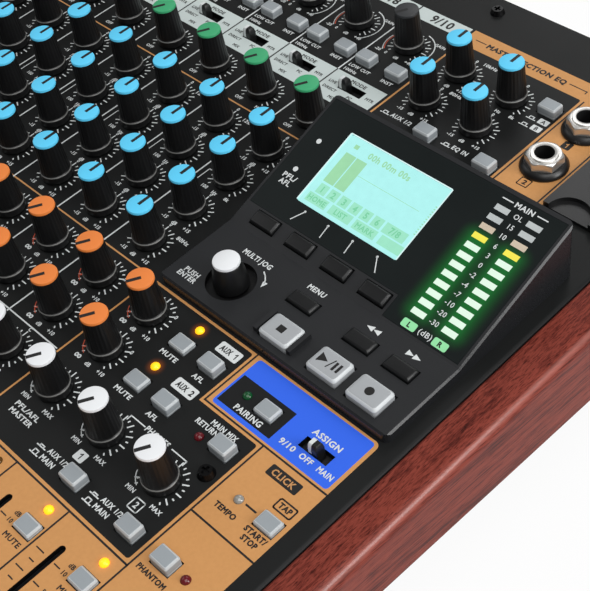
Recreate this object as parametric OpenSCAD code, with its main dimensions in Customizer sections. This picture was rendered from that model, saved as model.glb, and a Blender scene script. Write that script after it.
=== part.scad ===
// Compact recording mixer: a sloping control panel on a steel pan between wooden cheeks,
// with a raised console for the recorder, rotary pots, slide faders and push buttons.
// Millimetres, +Z up, +Y to the rear, origin on the table under the middle of the outer box.

/* [Panel] */
// Height of the panel's front edge above the table
front_h = 43.7; // [38:0.1:60]
// Slope of the panel to the table, in degrees
panel_tilt = 7; // [4:0.5:10]
// Thickness of the panel sheet
panel_t = 2; // [1.5:0.1:3]
// Plain black border at each side of the printed area
border_w = 7.1; // [5:0.1:12]
// Depth of the panel's folded side flanges
flange_h = 9; // [6:0.5:11]
// From the last row of knobs to the rear edge
rear_margin = 43; // [38:0.5:60]

/* [Strips] */
// Width of one channel strip
strip_pitch = 25.4; // [24:0.1:32]
// Width of one column of the master section
master_pitch = 24.9; // [22:0.1:30]
// Front edge to the fader lever at its lower stop
fader_front = 36.4; // [32:0.1:50]
// Travel of the faders
fader_travel = 60; // [60:1:80]
// Upper fader stop to the pan row
pan_gap = 34.3; // [34:0.1:45]
// Pan row to the rear send row
aux_gap = 20; // [18:0.1:26]
// Pitch of the rows inside one group of knobs
row_pitch = 18.05; // [16:0.05:22]
// Front send row to the first equaliser row
eq_gap = 20.7; // [18:0.1:26]
// Last equaliser row to the compressor row
comp_gap = 21.4; // [18:0.1:26]
// Compressor row to the mode switches
mode_gap = 20.4; // [16:0.1:26]
// Mode switches to the low cut buttons
trim_gap = 12.9; // [10:0.1:16]
// Low cut buttons to the gain row
gain_gap = 17.9; // [14:0.1:24]

/* [Case] */
// Thickness of the wooden cheeks
cheek_t = 13; // [10:0.5:20]
// Depth of a cheek at its front end, square to the panel
cheek_front_h = 12; // [12:0.5:20]
// Depth of a cheek at its rear end, square to the panel
cheek_rear_h = 44; // [36:0.5:50]
// Radius of a cheek's top edge
cheek_round = 4; // [1:0.5:8]
// Wall of the steel pan
pan_wall = 1.5; // [1:0.1:2.5]
// Inward lips of the pan under the panel, front and rear
pan_lip = 14; // [10:0.5:18]
// Height of the rubber feet
foot_h = 5; // [3:0.5:12]
// Diameter of the rubber feet
foot_d = 16; // [10:0.5:24]
// Sideways inset of the feet from the pan's wall
foot_inset = 18; // [12:1:30]

/* [Knobs] */
// Height of a knob's top above the panel
knob_h = 16.9; // [14:0.1:20]
// Diameter of a knob's base ring
knob_base_d = 11.2; // [10:0.1:14]
// Diameter of a knob's coloured cap
knob_cap_d = 8.9; // [7:0.1:10]
// Diameter of a pot's shaft
shaft_d = 6; // [5:0.1:6.5]
// Turn of a pot from stop to stop, in degrees
knob_turn = 300; // [270:5:300]

/* [Console] */
// Width of the raised console
console_w = 97.7; // [88:0.1:112]
// First send row to the console's front edge
console_gap = 11.25; // [9:0.25:14]
// Depth of the console's low front deck
deck_d = 30.7; // [28:0.1:36]
// Depth of the console's sloping display part, along the panel
display_d = 52.5; // [52:0.1:60]
// Height of the low deck above the panel
deck_h = 3.8; // [3.5:0.1:6]
// Height of the console's rear edge above the panel
console_h = 21.5; // [19:0.1:25]
// Wall of the console shell
console_wall = 2.4; // [2:0.1:3]
// Width of the transport keys
key_w = 12; // [10:0.1:12.5]
// Depth of the transport keys
key_d = 9; // [8:0.1:9.5]
// Width of the small keys
small_key_w = 10.2; // [8:0.1:11]
// Depth of the small keys
small_key_d = 5.1; // [4:0.1:6]
// Travel of the keys
key_travel = 0.8; // [0.5:0.1:1]
// Diameter of the jog dial's well
well_d = 16.6; // [15:0.1:18]
// Width of the screen
screen_w = 43.8; // [38:0.1:46]
// Height of the screen
screen_d = 29.1; // [24:0.1:30]
// Thickness of the clear window
window_t = 1.3; // [1:0.1:1.6]

/* [Controls] */
// Width of the push buttons
button_w = 7.2; // [6.5:0.1:9]
// Depth of the push buttons
button_d = 5.4; // [4.8:0.1:7]
// Height of the push buttons above the panel
button_h = 3.4; // [2.6:0.1:6]
// Height of the low push buttons above the panel
low_button_h = 1.6; // [1:0.1:2.5]
// Travel of the push buttons
button_travel = 1.5; // [1:0.1:2]
// Width of a fader cap
fader_cap_w = 11; // [9:0.1:12]
// Length of a fader cap
fader_cap_l = 24; // [18:0.5:28]
// Height of a fader cap's top above the panel
fader_cap_h = 13; // [11:0.5:16]
// Diameter of the indicator lamps
led_d = 3; // [2:0.1:3.4]
// Bore of the phones and line sockets
socket_bore = 6.5; // [6.4:0.05:6.6]
// Width across the flats of the phones nuts
nut_af = 11.4; // [10.6:0.1:13]
// Width of the card cover
cover_w = 19.4; // [18:0.1:20]
// Length of the card cover
cover_l = 46; // [40:0.5:48]

/* [Hidden] */
$fn = 48;
cut = 1;            // overlap of a cutting tool past the face it opens
seam = 0.05;        // joint line between two pieces fixed to each other
slip = 0.3;         // clearance round a piece that slides in an opening
run_fit = 0.05;     // radial clearance of a shaft in its bore

// Plan of the panel: x across from the middle, y along the slope from the front edge
strip_count = 8;
control_shift = -0.7;  // of the control columns, from the middle of the printed area
console_over = 1.3;  // the console's right side past the printed area
console_left = 3.2;  // from the last strip to the console's left side
master_w = max(4 * master_pitch, console_left + console_w - console_over);
work_w = strip_count * strip_pitch + master_w;
panel_w = work_w + 2 * border_w;
columns_left = control_shift - work_w / 2;
function strip_x(k) = columns_left + (k + 0.5) * strip_pitch;
function master_x(m) = columns_left + strip_count * strip_pitch + (m + 0.5) * master_pitch;
last = strip_count - 1;
fader_rear = fader_front + fader_travel;
pan_y = fader_rear + pan_gap;
aux_2_y = pan_y + aux_gap;
aux_1_y = aux_2_y + row_pitch;
low_y = aux_1_y + eq_gap;
mid_gain_y = low_y + row_pitch;
mid_freq_y = mid_gain_y + row_pitch;
high_y = mid_freq_y + row_pitch;
comp_y = high_y + comp_gap;
mode_y = comp_y + mode_gap;
trim_y = mode_y + trim_gap;
gain_y = trim_y + gain_gap;
panel_len = gain_y + rear_margin;

// Stations square to the panel, from its top face
panel_under = -panel_t;
shaft_foot = -8;
board_top = -12.5;
board_t = 1.6;
bushing_top = panel_under - 0.5;
pot_top = -5;

// Stations of the case
jack_proud = 3.5;
front_y = -(panel_len * cos(panel_tilt) + jack_proud) / 2;
rear_y = front_y + panel_len * cos(panel_tilt);
flange_t = 2;
bend_r = 1.6;
pan_w = panel_w - 2 * flange_t - 2 * slip;
pan_edge = 5;
function panel_point(y, z) = [
  front_y + y * cos(panel_tilt) - z * sin(panel_tilt),
  front_h + y * sin(panel_tilt) + z * cos(panel_tilt)
];

// Places of the knobs
channel_rows = [pan_y, aux_2_y, aux_1_y, low_y, mid_gain_y, mid_freq_y, high_y, comp_y, gain_y];
eq_rows = [low_y, mid_gain_y, mid_freq_y, high_y];
eq_left = master_x(0) + 0.3;
eq_right = master_x(1) - 1.5;
eq_front = trim_y - 2.2;
eq_rear = gain_y - 1;
master_knobs = [
  [master_x(0), aux_1_y], [master_x(0), aux_2_y], [master_x(0), pan_y],
  [master_x(1), pan_y], [master_x(2), pan_y],
  [eq_left, eq_front], [eq_right, eq_front], [eq_left, eq_rear], [eq_right, eq_rear]
];
channel_knob_places = [for (k = [0:last]) for (y = channel_rows) [strip_x(k), y]];
single_rows = [aux_2_y, aux_1_y, low_y, mid_gain_y, mid_freq_y, high_y, comp_y];
fixed_knob_places = [
  for (k = [0:last]) for (y = channel_rows)
    if (k < last || len(search(y, single_rows)) == 0) [strip_x(k), y]
];
knob_places = concat(channel_knob_places, master_knobs);
knob_gap = 0.6;
knob_ring_h = 3.4;
knob_hole_d = shaft_d + 1.2;
centre_stop = 0;
low_stop = knob_turn / 2;
function rest_turn(y) = len(search(y, eq_rows)) > 0 ? centre_stop : low_stop;

// Places of the faders, buttons and lamps
fader_columns = concat([for (k = [0:last]) strip_x(k)], [for (m = [0:2]) master_x(m)]);
slot_dx = -4.3;
side_dx = 7.85;
slot_w = 2.4;
slot_margin = 3.2;
slot_l = fader_travel + 2 * slot_margin - slot_w;
mute_y = fader_rear;
solo_y = mute_y - 20;
arm_y = solo_y - 20;
lamp_dy = 7.25;
lamp_depth = 4;
fader_buttons = [for (x = fader_columns) for (y = [mute_y, solo_y]) [x + side_dx, y]];
arm_buttons = [for (k = [0:last]) [strip_x(k) + side_dx, arm_y]];
trim_dx = [-7, 7.5];
trim_lift = 2.6;
trim_buttons = [for (k = [0:last]) for (dx = trim_dx) [strip_x(k) + dx, trim_y + trim_lift]];
send_drop = 1.85;
send_dx = [-7.95, 5.65];
send_rows = [aux_1_y, aux_2_y];
send_buttons = [for (y = send_rows) for (dx = send_dx) [master_x(1) + dx, y - send_drop]];
select_shift = [5.5, -15.95];
select_buttons = [for (m = [1, 2]) [master_x(m), pan_y] + select_shift];
pair_button = [master_x(2) + 5.45, aux_1_y - 2.15];
return_button = [master_x(2) + 5.35, aux_2_y - 1.55];
tap_button = [master_x(3) + 7.7, aux_2_y - 9.85];
phantom_button = [master_x(3) - 4.55, pan_y - 15.8];
eq_buttons = [
  [master_x(2) - 12.15, eq_rear + 3.1], [master_x(2) - 11.95, mode_y - 2.2],
  [master_x(1) - 13.05, mode_y - 2.2]
];
low_places = concat(
  [for (x = [master_x(1), master_x(2)]) [x + side_dx, mute_y]],
  [for (y = send_rows) [master_x(1) + send_dx[0], y - send_drop]], [pair_button, tap_button]
);
button_places = concat(
  fader_buttons, arm_buttons, trim_buttons, send_buttons, select_buttons, eq_buttons,
  [pair_button, return_button, tap_button, phantom_button]
);
function is_low(p) = len([for (q = low_places) if (norm(p - q) < slip) q]) > 0;
send_lamp_dy = 5.4;
pair_lamp_x = master_x(2) - 3.35;
tap_lamp = [-11.9, 0.05];
led_places = concat(
  [for (p = concat(fader_buttons, arm_buttons)) p + [0, lamp_dy]],
  [for (y = send_rows) [master_x(1) + send_dx[0], y + send_lamp_dy]],
  [
    [pair_lamp_x, pair_button[1]], [pair_lamp_x, return_button[1] - led_d / 2],
    tap_button + tap_lamp, phantom_button + [side_dx, 0]
  ]
);
mode_slot_l = 11;
mode_slot_w = 4;
mode_dx = 0;
lever_l = 4;
lever_w = 3.4;
lever_h = 4;
mode_travel = mode_slot_l - lever_l - 2 * slip;
assign_place = [master_x(3) + 0.7, aux_1_y - 2.7];

// Sockets, cover and screws on the panel
phones_x = master_x(2) + 3.1;
phones_rows = [trim_y - 2.7, gain_y + 1.6];
bezel_d = 16.5;
bushing_d = 9.4;
socket_depth = 30;
cover_x = master_x(3) - 0.5;
cover_front = mode_y - 5.3;
cover_t = 2.6;
cover_lift = 0.3;
trunnion_d = 2;
lug_w = 2.4;
card_well_w = 14;
card_well_l = 30;
screw_d = 3;
screw_head_d = 5.6;
lip_screw_x = [strip_x(1) + strip_pitch / 2, strip_x(4) + strip_pitch / 2, strip_x(last) + strip_pitch / 2];
lip_screw_rows = [pan_lip / 2 + pan_wall / 2, panel_len - pan_lip / 2 - pan_wall / 2];
post_screw = [master_x(2) + 7.7, aux_2_y - 10.1];
cheek_screw_rows = [0.15, 0.5, 0.85];

// Console, from its own front left corner on the panel
console_x = work_w / 2 + console_over - console_w;
console_y = aux_1_y + console_gap;
display_len = norm([display_d, console_h - deck_h]);
display_tilt = atan2(console_h - deck_h, display_d);
front_row = 7.6;
rear_row = 20.25;
record_x = console_w - 13.1;
play_x = record_x - 15.8;
stop_x = play_x - 20;
menu_x = stop_x - 3.9;
front_keys = [[stop_x, front_row], [play_x, front_row], [record_x, front_row]];
rear_keys = [[menu_x, rear_row], [play_x, rear_row], [record_x, rear_row]];
jog_at = [20.7, 12.4];
key_proud = 2.4;
small_key_proud = 1.4;
key_foot = -1.5;
screen_x = 15.1;
screen_y = 17.25;
meter_w = 21;
meter_x = console_w - meter_w - 5.2;
meter_y = 5;
meter_d = 44.5;
window_margin = 1.5;
window_step = [meter_x - 4.7, 8.9];
window_front = 1;
function_x = 12.3;
function_pitch = (window_step[0] - 1.4 - small_key_w / 2 - function_x) / 3;
function_row = 5.3;
guard_w = 1.6;
guard_h = 1.9;
well_depth = 2.2;
well_floor_t = 1.6;
jog_h = 13.4;
jog_d = 11.6;
jog_travel = 0.5;
jog_shaft_top = jog_h - 3;
deck_rim = 1.6;
console_bevel = 0.6;
console_corner = 2.5;

// Sockets on the rear wall
mic_z = 55;
mic_pitch = 28;
mic_count = 6;
mic_inset = 22;
mic_x0 = -pan_w / 2 + mic_inset;
mic_d = 22;
mic_flange_d = 25;
out_x = [strip_x(last) + 6, strip_x(last) + 36];
line_z = 25;
line_pitch = 18;
line_count = 10;
line_inset = 18;
line_x0 = -pan_w / 2 + line_inset;
line_nut_d = 12;
line_body = 13;
plug_depth = 22;
socket_reach = 26;
io_board_y = rear_y - socket_reach;
power_inset = 26;
power_x = pan_w / 2 - power_inset;
power_z = 27;
rocker_w = 12;
rocker_h = 19;
rocker_tilt = 8;
rocker_frame = 2.5;
rocker_rim = 1.4;
rocker_depth = 12;
rocker_cut_w = rocker_w + 2 * rocker_frame;
rocker_cut_h = rocker_h + 2 * rocker_frame;
inlet_x = power_x - 29;
inlet_bore = 5.6;
data_x = inlet_x - 23;
data_w = 9.4;
data_h = 3.6;

black = [0.09, 0.09, 0.1];
charcoal = [0.15, 0.155, 0.16];
light_grey = [0.66, 0.68, 0.7];
steel = [0.75, 0.76, 0.78];
mahogany = [0.5, 0.2, 0.16];
board_green = [0.08, 0.3, 0.18];
sky_blue = [0.33, 0.75, 0.95];
orange = [0.95, 0.55, 0.25];
cap_green = [0.2, 0.6, 0.4];

// Moves its children onto the sloping panel
module on_panel(x, y, z = 0) {
  translate([0, front_y, front_h]) rotate([panel_tilt, 0, 0]) translate([x, y, z]) children();
}

// Moves its children onto the console's low deck
module on_deck(x, y, z = deck_h) {
  on_panel(console_x + x, console_y + y, z) children();
}

// Moves its children onto the console's sloping display face
module on_display(x, y, z = 0) {
  on_deck(0, deck_d) rotate([display_tilt, 0, 0]) translate([x, y, z]) children();
}

// Moves its children to the rear wall, +Z outwards
module on_rear(x, z) {
  translate([x, rear_y, z]) rotate([-90, 0, 0]) children();
}

// A profile of [y, z] points carried across the object from x0 to x1
module across(x0, x1) {
  translate([x0, 0, 0]) rotate([90, 0, 90]) linear_extrude(x1 - x0) children();
}

// A profile of [x, z] points carried along the object from y0 to y1
module along(y0, y1) {
  translate([0, y1, 0]) rotate([90, 0, 0]) linear_extrude(y1 - y0) children();
}

// A box centred on its own axis, from z0 up to z1
module block(w, d, z0, z1) {
  translate([-w / 2, -d / 2, z0]) cube([w, d, z1 - z0]);
}

// A block whose top edges are bevelled all round
module bevelled_block(w, d, z0, z1, bevel, drop) {
  intersection() {
    rotate([90, 0, 0]) linear_extrude(d, center = true) bevel_outline(w, z0, z1, bevel, drop);
    rotate([90, 0, 90]) linear_extrude(w, center = true) bevel_outline(d, z0, z1, bevel, drop);
  }
}
module bevel_outline(w, z0, z1, bevel, drop) {
  polygon([
    [-w / 2, z0], [w / 2, z0], [w / 2, z1 - drop], [w / 2 - bevel, z1],
    [-w / 2 + bevel, z1], [-w / 2, z1 - drop]
  ]);
}

// A tapered knob with a base ring, its shaft below and a coloured cap with a pointer slot
module knob(turn, cap) {
  cap_t = 1;
  shoulder = 0.3;
  groove = 0.4;
  ring_r = knob_base_d / 2;
  cap_r = knob_cap_d / 2;
  body_top = knob_h - cap_t - seam;
  pointer_w = 1.1;
  color(black) rotate_extrude() polygon([
    [0, shaft_foot], [shaft_d / 2, shaft_foot], [shaft_d / 2, knob_gap], [ring_r, knob_gap],
    [ring_r, knob_ring_h], [ring_r - groove, knob_ring_h + groove],
    [ring_r - groove, knob_ring_h + 3 * groove],
    [cap_r, body_top - shoulder], [cap_r - shoulder, body_top], [0, body_top]
  ]);
  color(cap) rotate([0, 0, turn]) difference() {
    translate([0, 0, knob_h - cap_t]) cylinder(h = cap_t, d = knob_cap_d - 2 * shoulder);
    translate([-pointer_w / 2, 0, knob_h - cap_t / 2]) cube([pointer_w, knob_cap_d, cap_t]);
  }
}

// The body of a rotary pot with the bush that carries a knob's shaft
module pot() {
  pot_w = 9.6;
  pot_d = 10.4;
  difference() {
    union() {
      block(pot_w, pot_d, board_top, pot_top);
      translate([0, 0, pot_top - cut]) cylinder(h = bushing_top - pot_top + cut, d = shaft_d + 2.4);
    }
    translate([0, 0, shaft_foot - slip]) cylinder(h = -shaft_foot, d = shaft_d + 2 * run_fit);
  }
}

// A section with round top corners, its top at 0 and its middle on the axis
module rounded_top(w, depth, r) {
  union() {
    translate([-w / 2, -depth]) square([w, depth - r]);
    translate([-w / 2 + r, -depth]) square([w - 2 * r, depth]);
    for (s = [-1, 1]) translate([s * (w / 2 - r), -r]) circle(r = r);
  }
}

module base_pan() {
  lip_t = pan_wall;
  side = pan_w / 2;
  front_top = panel_point(0, panel_under);
  rear_top = panel_point(panel_len, panel_under);
  front_face = front_top[0];
  rear_face = rear_y;
  rear_rise = rear_top[1] + (rear_face - rear_top[0]) * tan(panel_tilt);
  in_front = front_face + pan_wall;
  in_rear = rear_face - pan_wall;
  lip_front = panel_point(pan_lip, panel_under - lip_t);
  lip_rear = panel_point(panel_len - pan_lip, panel_under - lip_t);
  in_front_top = lip_front[1] - (lip_front[0] - in_front) * tan(panel_tilt);
  in_rear_top = lip_rear[1] + (in_rear - lip_rear[0]) * tan(panel_tilt);
  mouth_front = panel_point(pan_lip, cut);
  mouth_rear = panel_point(panel_len - pan_lip, cut);
  color(black) difference() {
    intersection() {
      across(-side, side) polygon([
        [front_face, foot_h], [rear_face, foot_h], [rear_face, rear_rise], front_top
      ]);
      along(front_face - cut, rear_face + cut) polygon([
        [-side + pan_edge, foot_h], [side - pan_edge, foot_h], [side, foot_h + pan_edge],
        [side, rear_rise + cut], [-side, rear_rise + cut], [-side, foot_h + pan_edge]
      ]);
    }
    intersection() {
      across(-side + pan_wall, side - pan_wall) polygon([
        [in_front, foot_h + pan_wall], [in_rear, foot_h + pan_wall], [in_rear, in_rear_top],
        lip_rear, mouth_rear, mouth_front, lip_front, [in_front, in_front_top]
      ]);
      along(front_face - cut, rear_face + cut) polygon([
        [-side + pan_edge + pan_wall / 2, foot_h + pan_wall],
        [side - pan_edge - pan_wall / 2, foot_h + pan_wall],
        [side - pan_wall, foot_h + pan_edge + pan_wall / 2], [side - pan_wall, rear_rise + 2 * cut],
        [-side + pan_wall, rear_rise + 2 * cut], [-side + pan_wall, foot_h + pan_edge + pan_wall / 2]
      ]);
    }
    lip_holes(-panel_t - pan_wall - cut, -panel_t + cut);
    cheek_screw_bores(screw_d + 2 * run_fit, pan_w / 2 - pan_wall - cut, pan_w / 2 + cut);
    for (k = [0:mic_count - 1]) on_rear(mic_x0 + k * mic_pitch, mic_z) rear_cut(mic_d);
    for (x = out_x) on_rear(x, mic_z) rear_cut(mic_d);
    for (k = [0:line_count - 1]) on_rear(line_x0 + k * line_pitch, line_z) rear_cut(bushing_d);
    on_rear(inlet_x, line_z) rear_cut(bushing_d);
    on_rear(data_x, line_z) block(data_w + 2 * seam, data_h + 2 * seam, -pan_wall - cut, cut);
    on_rear(power_x, power_z) block(rocker_cut_w, rocker_cut_h, -pan_wall - cut, cut);
  }
}
module rear_cut(d) {
  translate([0, 0, -pan_wall - cut]) cylinder(h = pan_wall + 2 * cut, d = d + 2 * seam);
}
module lip_holes(z0, z1) {
  for (x = lip_screw_x) for (y = lip_screw_rows)
    on_panel(x, y, z0) cylinder(h = z1 - z0, d = screw_d + 2 * run_fit);
}
module cheek_screw_bores(d, x0, x1) {
  for (s = [-1, 1]) for (part = cheek_screw_rows)
    on_panel(s * x0, part * panel_len, panel_under - flange_h / 2)
      rotate([0, s * 90, 0]) cylinder(h = x1 - x0, d = d);
}

module top_panel() {
  lug_x = cover_w / 2 + slip + lug_w / 2;
  lug_y = cover_front + cover_l - cover_t / 2;
  color(black) difference() {
    union() {
      intersection() {
        union() {
          on_panel(-panel_w / 2, 0, -panel_t) cube([panel_w, panel_len, panel_t]);
          for (s = [0, 1]) on_panel(-panel_w / 2 + s * (panel_w - flange_t), 0, -panel_t - flange_h)
            cube([flange_t, panel_len - (flange_h + panel_t) * tan(panel_tilt), flange_h + cut]);
        }
        on_panel(0, panel_len + cut) rotate([90, 0, 0]) linear_extrude(panel_len + 2 * cut)
          rounded_top(panel_w, panel_t + 2 * flange_h, bend_r);
      }
      for (s = [-1, 1]) on_panel(cover_x + s * lug_x, lug_y)
        block(lug_w, cover_t + 1, -cut, cover_lift + cover_t);
    }
    for (s = [-1, 1]) on_panel(cover_x + s * (lug_x - cut), lug_y, cover_lift + cover_t / 2)
      rotate([0, 90, 0]) cylinder(h = lug_w + 2 * cut, d = trunnion_d + 2 * run_fit, center = true);
    for (p = knob_places) panel_hole(p, knob_hole_d);
    for (p = led_places) panel_hole(p, led_d + 2 * run_fit);
    for (p = button_places) panel_slot(p, button_w + 2 * slip, button_d + 2 * slip);
    for (x = fader_columns) {
      panel_slot([x + slot_dx, fader_front + fader_travel / 2], slot_w, slot_l);
      for (s = [-0.5, 0.5]) panel_hole([x + slot_dx, fader_front + fader_travel / 2 + s * slot_l], slot_w);
    }
    for (k = [0:last]) panel_slot([strip_x(k) + mode_dx, mode_y], mode_slot_l, mode_slot_w);
    panel_slot(assign_place, mode_slot_l, mode_slot_w);
    for (y = phones_rows) panel_hole([phones_x, y], bushing_d + 2 * run_fit);
    panel_slot([cover_x, cover_front + cover_l / 2 - 2], card_well_w, card_well_l);
    panel_slot(
      [console_x + console_w / 2, console_y + (deck_d + display_d) / 2],
      console_w - 2 * deck_rim, deck_d + display_d - 2 * deck_rim
    );
    lip_holes(-panel_t - cut, cut);
    panel_hole(post_screw, screw_d + 2 * run_fit);
    cheek_screw_bores(screw_d + 2 * run_fit, panel_w / 2 - flange_t - cut, panel_w / 2 + cut);
  }
}
module panel_hole(p, d) {
  on_panel(p[0], p[1], -panel_t - cut) cylinder(h = panel_t + 2 * cut, d = d);
}
module panel_slot(p, w, d) {
  on_panel(p[0], p[1]) block(w, d, -panel_t - cut, cut);
}

module cheek(side) {
  inner = panel_w / 2 + seam;
  nose = 5;
  outer = inner + cheek_t;
  color(mahogany) difference() {
    intersection() {
      across(side > 0 ? inner : -outer, side > 0 ? outer : -inner) polygon([
        panel_point(nose, 0), panel_point(panel_len, 0), [rear_y, panel_point(panel_len, -cheek_rear_h)[1]],
        panel_point(nose, -cheek_front_h), panel_point(0, nose - cheek_front_h), panel_point(0, -nose / 2)
      ]);
      on_panel(0, panel_len + cheek_rear_h) rotate([90, 0, 0])
        linear_extrude(panel_len + 2 * cheek_rear_h) cheek_section(side, outer);
    }
    cheek_screw_bores(screw_d + 2 * run_fit, panel_w / 2 - cut, panel_w / 2 + cheek_t - 3);
  }
}
// Section of a cheek square to the panel, from the middle of the object, with its top edge round
module cheek_section(side, outer) {
  base = -2 * cheek_rear_h;
  union() {
    translate([side > 0 ? 0 : -outer, base]) square([outer, -base - cheek_round]);
    translate([side > 0 ? 0 : cheek_round - outer, base]) square([outer - cheek_round, -base]);
    translate([side * (outer - cheek_round), -cheek_round]) circle(r = cheek_round, $fn = 48);
  }
}
module left_cheek() { cheek(-1); }
module right_cheek() { cheek(1); }

module console_shell() {
  in = console_wall;
  crease_in = deck_d + in * tan(display_tilt / 2);
  slope_drop = in / cos(display_tilt);
  rear_in = deck_d + display_d - in;
  color(charcoal) difference() {
    union() {
      difference() {
        console_body();
        on_panel(console_x, console_y) translate([in, 0, 0]) rotate([90, 0, 90])
          linear_extrude(console_w - 2 * in) polygon([
            [in, -cut], [rear_in, -cut],
            [rear_in, deck_h - slope_drop + (rear_in - deck_d) * tan(display_tilt)],
            [crease_in, deck_h - in], [in, deck_h - in]
          ]);
      }
      on_deck(jog_at[0], jog_at[1], deck_h - well_depth - well_floor_t)
        cylinder(h = well_depth + well_floor_t - seam, d = well_d + 4);
      for (s = [-1, 1]) on_deck(stop_x + s * (key_w + guard_w + 2 * slip) / 2, front_row)
        block(guard_w, key_d, -cut, guard_h);
    }
    on_deck(jog_at[0], jog_at[1], deck_h - well_depth) cylinder(h = well_depth + cut, d = well_d);
    on_deck(jog_at[0], jog_at[1], -2 * cut) cylinder(h = deck_h + cut, d = shaft_d + 2 * slip);
    for (p = front_keys) deck_cut(p, key_w, key_d);
    for (p = rear_keys) deck_cut(p, small_key_w, small_key_d);
    for (k = [0:3]) on_display(function_x + k * function_pitch, function_row)
      block(small_key_w + 2 * slip, small_key_d + 2 * slip, -2 * console_wall, cut);
    on_display(0, 0, -window_t) linear_extrude(window_t + cut) window_outline(0);
    on_display(screen_x + screen_w / 2, screen_y + screen_d / 2)
      block(screen_w + 2 * slip, screen_d + 2 * slip, -2 * console_wall, cut);
    on_display(meter_x + meter_w / 2, meter_y + meter_d / 2)
      block(meter_w + 2 * slip, meter_d + 2 * slip, -2 * console_wall, cut);
  }
}
// The console's outer form: its side profile, its bevelled long edges and its round corners in plan
module console_body() {
  depth = deck_d + display_d;
  bevel = console_bevel;
  corner = console_corner;
  intersection() {
    on_panel(console_x, console_y) rotate([90, 0, 90]) linear_extrude(console_w) polygon([
      [0, 0], [depth, 0], [depth, console_h], [deck_d, deck_h], [bevel, deck_h], [0, deck_h - bevel]
    ]);
    union() {
      on_deck(console_w / 2, deck_d) rotate([90, 0, 0]) linear_extrude(deck_d + cut)
        bevel_outline(console_w, -deck_h - cut, 0, bevel, bevel);
      on_display(console_w / 2, display_len + console_h) rotate([90, 0, 0])
        linear_extrude(display_len + console_h + deck_h)
        bevel_outline(console_w, -2 * console_h, 0, bevel, bevel);
    }
    on_panel(console_x, console_y, -cut) linear_extrude(console_h + 2 * cut) union() {
      translate([0, corner]) square([console_w, depth - 2 * corner]);
      translate([corner, 0]) square([console_w - 2 * corner, depth]);
      for (x = [corner, console_w - corner]) for (y = [corner, depth - corner])
        translate([x, y]) circle(r = corner);
    }
  }
}
module deck_cut(p, w, d) {
  on_deck(p[0], p[1]) block(w + 2 * slip, d + 2 * slip, -console_wall - cut, cut);
}
module window_outline(inset) {
  near = window_front + inset;
  left = window_margin + inset;
  right = console_w - window_margin - inset;
  far = display_len - window_margin - inset;
  polygon([
    [left, window_step[1] + inset], [window_step[0] + inset, window_step[1] + inset],
    [window_step[0] + inset, near], [right, near], [right, far], [left, far]
  ]);
}

module display_window() {
  color([0.05, 0.05, 0.06]) on_display(0, 0, -window_t + seam)
    linear_extrude(window_t - seam) window_outline(2 * seam);
}

module display_module() {
  depth = 5;
  top = -window_t;
  color([0.75, 0.95, 0.9]) on_display(screen_x + screen_w / 2, screen_y + screen_d / 2)
    block(screen_w, screen_d, top - depth, top);
  color(black) on_display(meter_x + meter_w / 2, meter_y + meter_d / 2)
    block(meter_w, meter_d, top - depth, top);
}

module circuit_boards() {
  board_w = pan_w - 2 * pan_wall - 3;
  board_front = pan_lip + 6;
  board_rear = gain_y + 12;
  io_w = pan_w - 2 * pan_wall - 6;
  io_low = foot_h + pan_wall + 4;
  io_high = mic_z + mic_d / 2;
  supply = [110, 70];
  supply_at = [-supply[0] / 2, supply[1] / 4];
  supply_lift = 8;
  phones_notch = 20;
  post_d = 6;
  post_edge = post_d / 2 + 0.5;
  post_bore = 6.5;
  floor_z = foot_h + pan_wall;
  color(board_green) difference() {
    on_panel(-board_w / 2, board_front, board_top - board_t)
      cube([board_w, board_rear - board_front, board_t]);
    on_panel(phones_x, (phones_rows[0] + phones_rows[1]) / 2)
      block(phones_notch, phones_rows[1] - phones_rows[0] + 24, board_top - board_t - cut, board_top + cut);
  }
  color(steel) difference() {
    on_panel(post_screw[0], post_screw[1], board_top)
      cylinder(h = panel_under - board_top, d = post_d);
    on_panel(post_screw[0], post_screw[1], panel_under - post_bore)
      cylinder(h = post_bore + cut, d = screw_d + 2 * run_fit);
  }
  color(steel) for (x = [strip_x(0) + strip_pitch / 2, master_x(3)])
    for (y = [board_front + post_edge, board_rear - post_edge])
      on_panel(x, y, board_top) cylinder(h = panel_under - board_top, d = post_d);
  color(board_green) difference() {
    translate([-io_w / 2, io_board_y - board_t, io_low]) cube([io_w, board_t, io_high - io_low]);
    translate([phones_x, io_board_y, line_z]) block(phones_notch, 3 * board_t, line_body, io_high);
  }
  color(board_green) translate([supply_at[0], supply_at[1], floor_z])
    block(supply[0], supply[1], supply_lift, supply_lift + board_t);
  color(steel) for (x = [-0.5, 0.5]) for (y = [-0.5, 0.5])
    translate([supply_at[0] + x * (supply[0] - 10), supply_at[1] + y * (supply[1] - 10), floor_z])
      cylinder(h = supply_lift, d = post_d);
}

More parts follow.
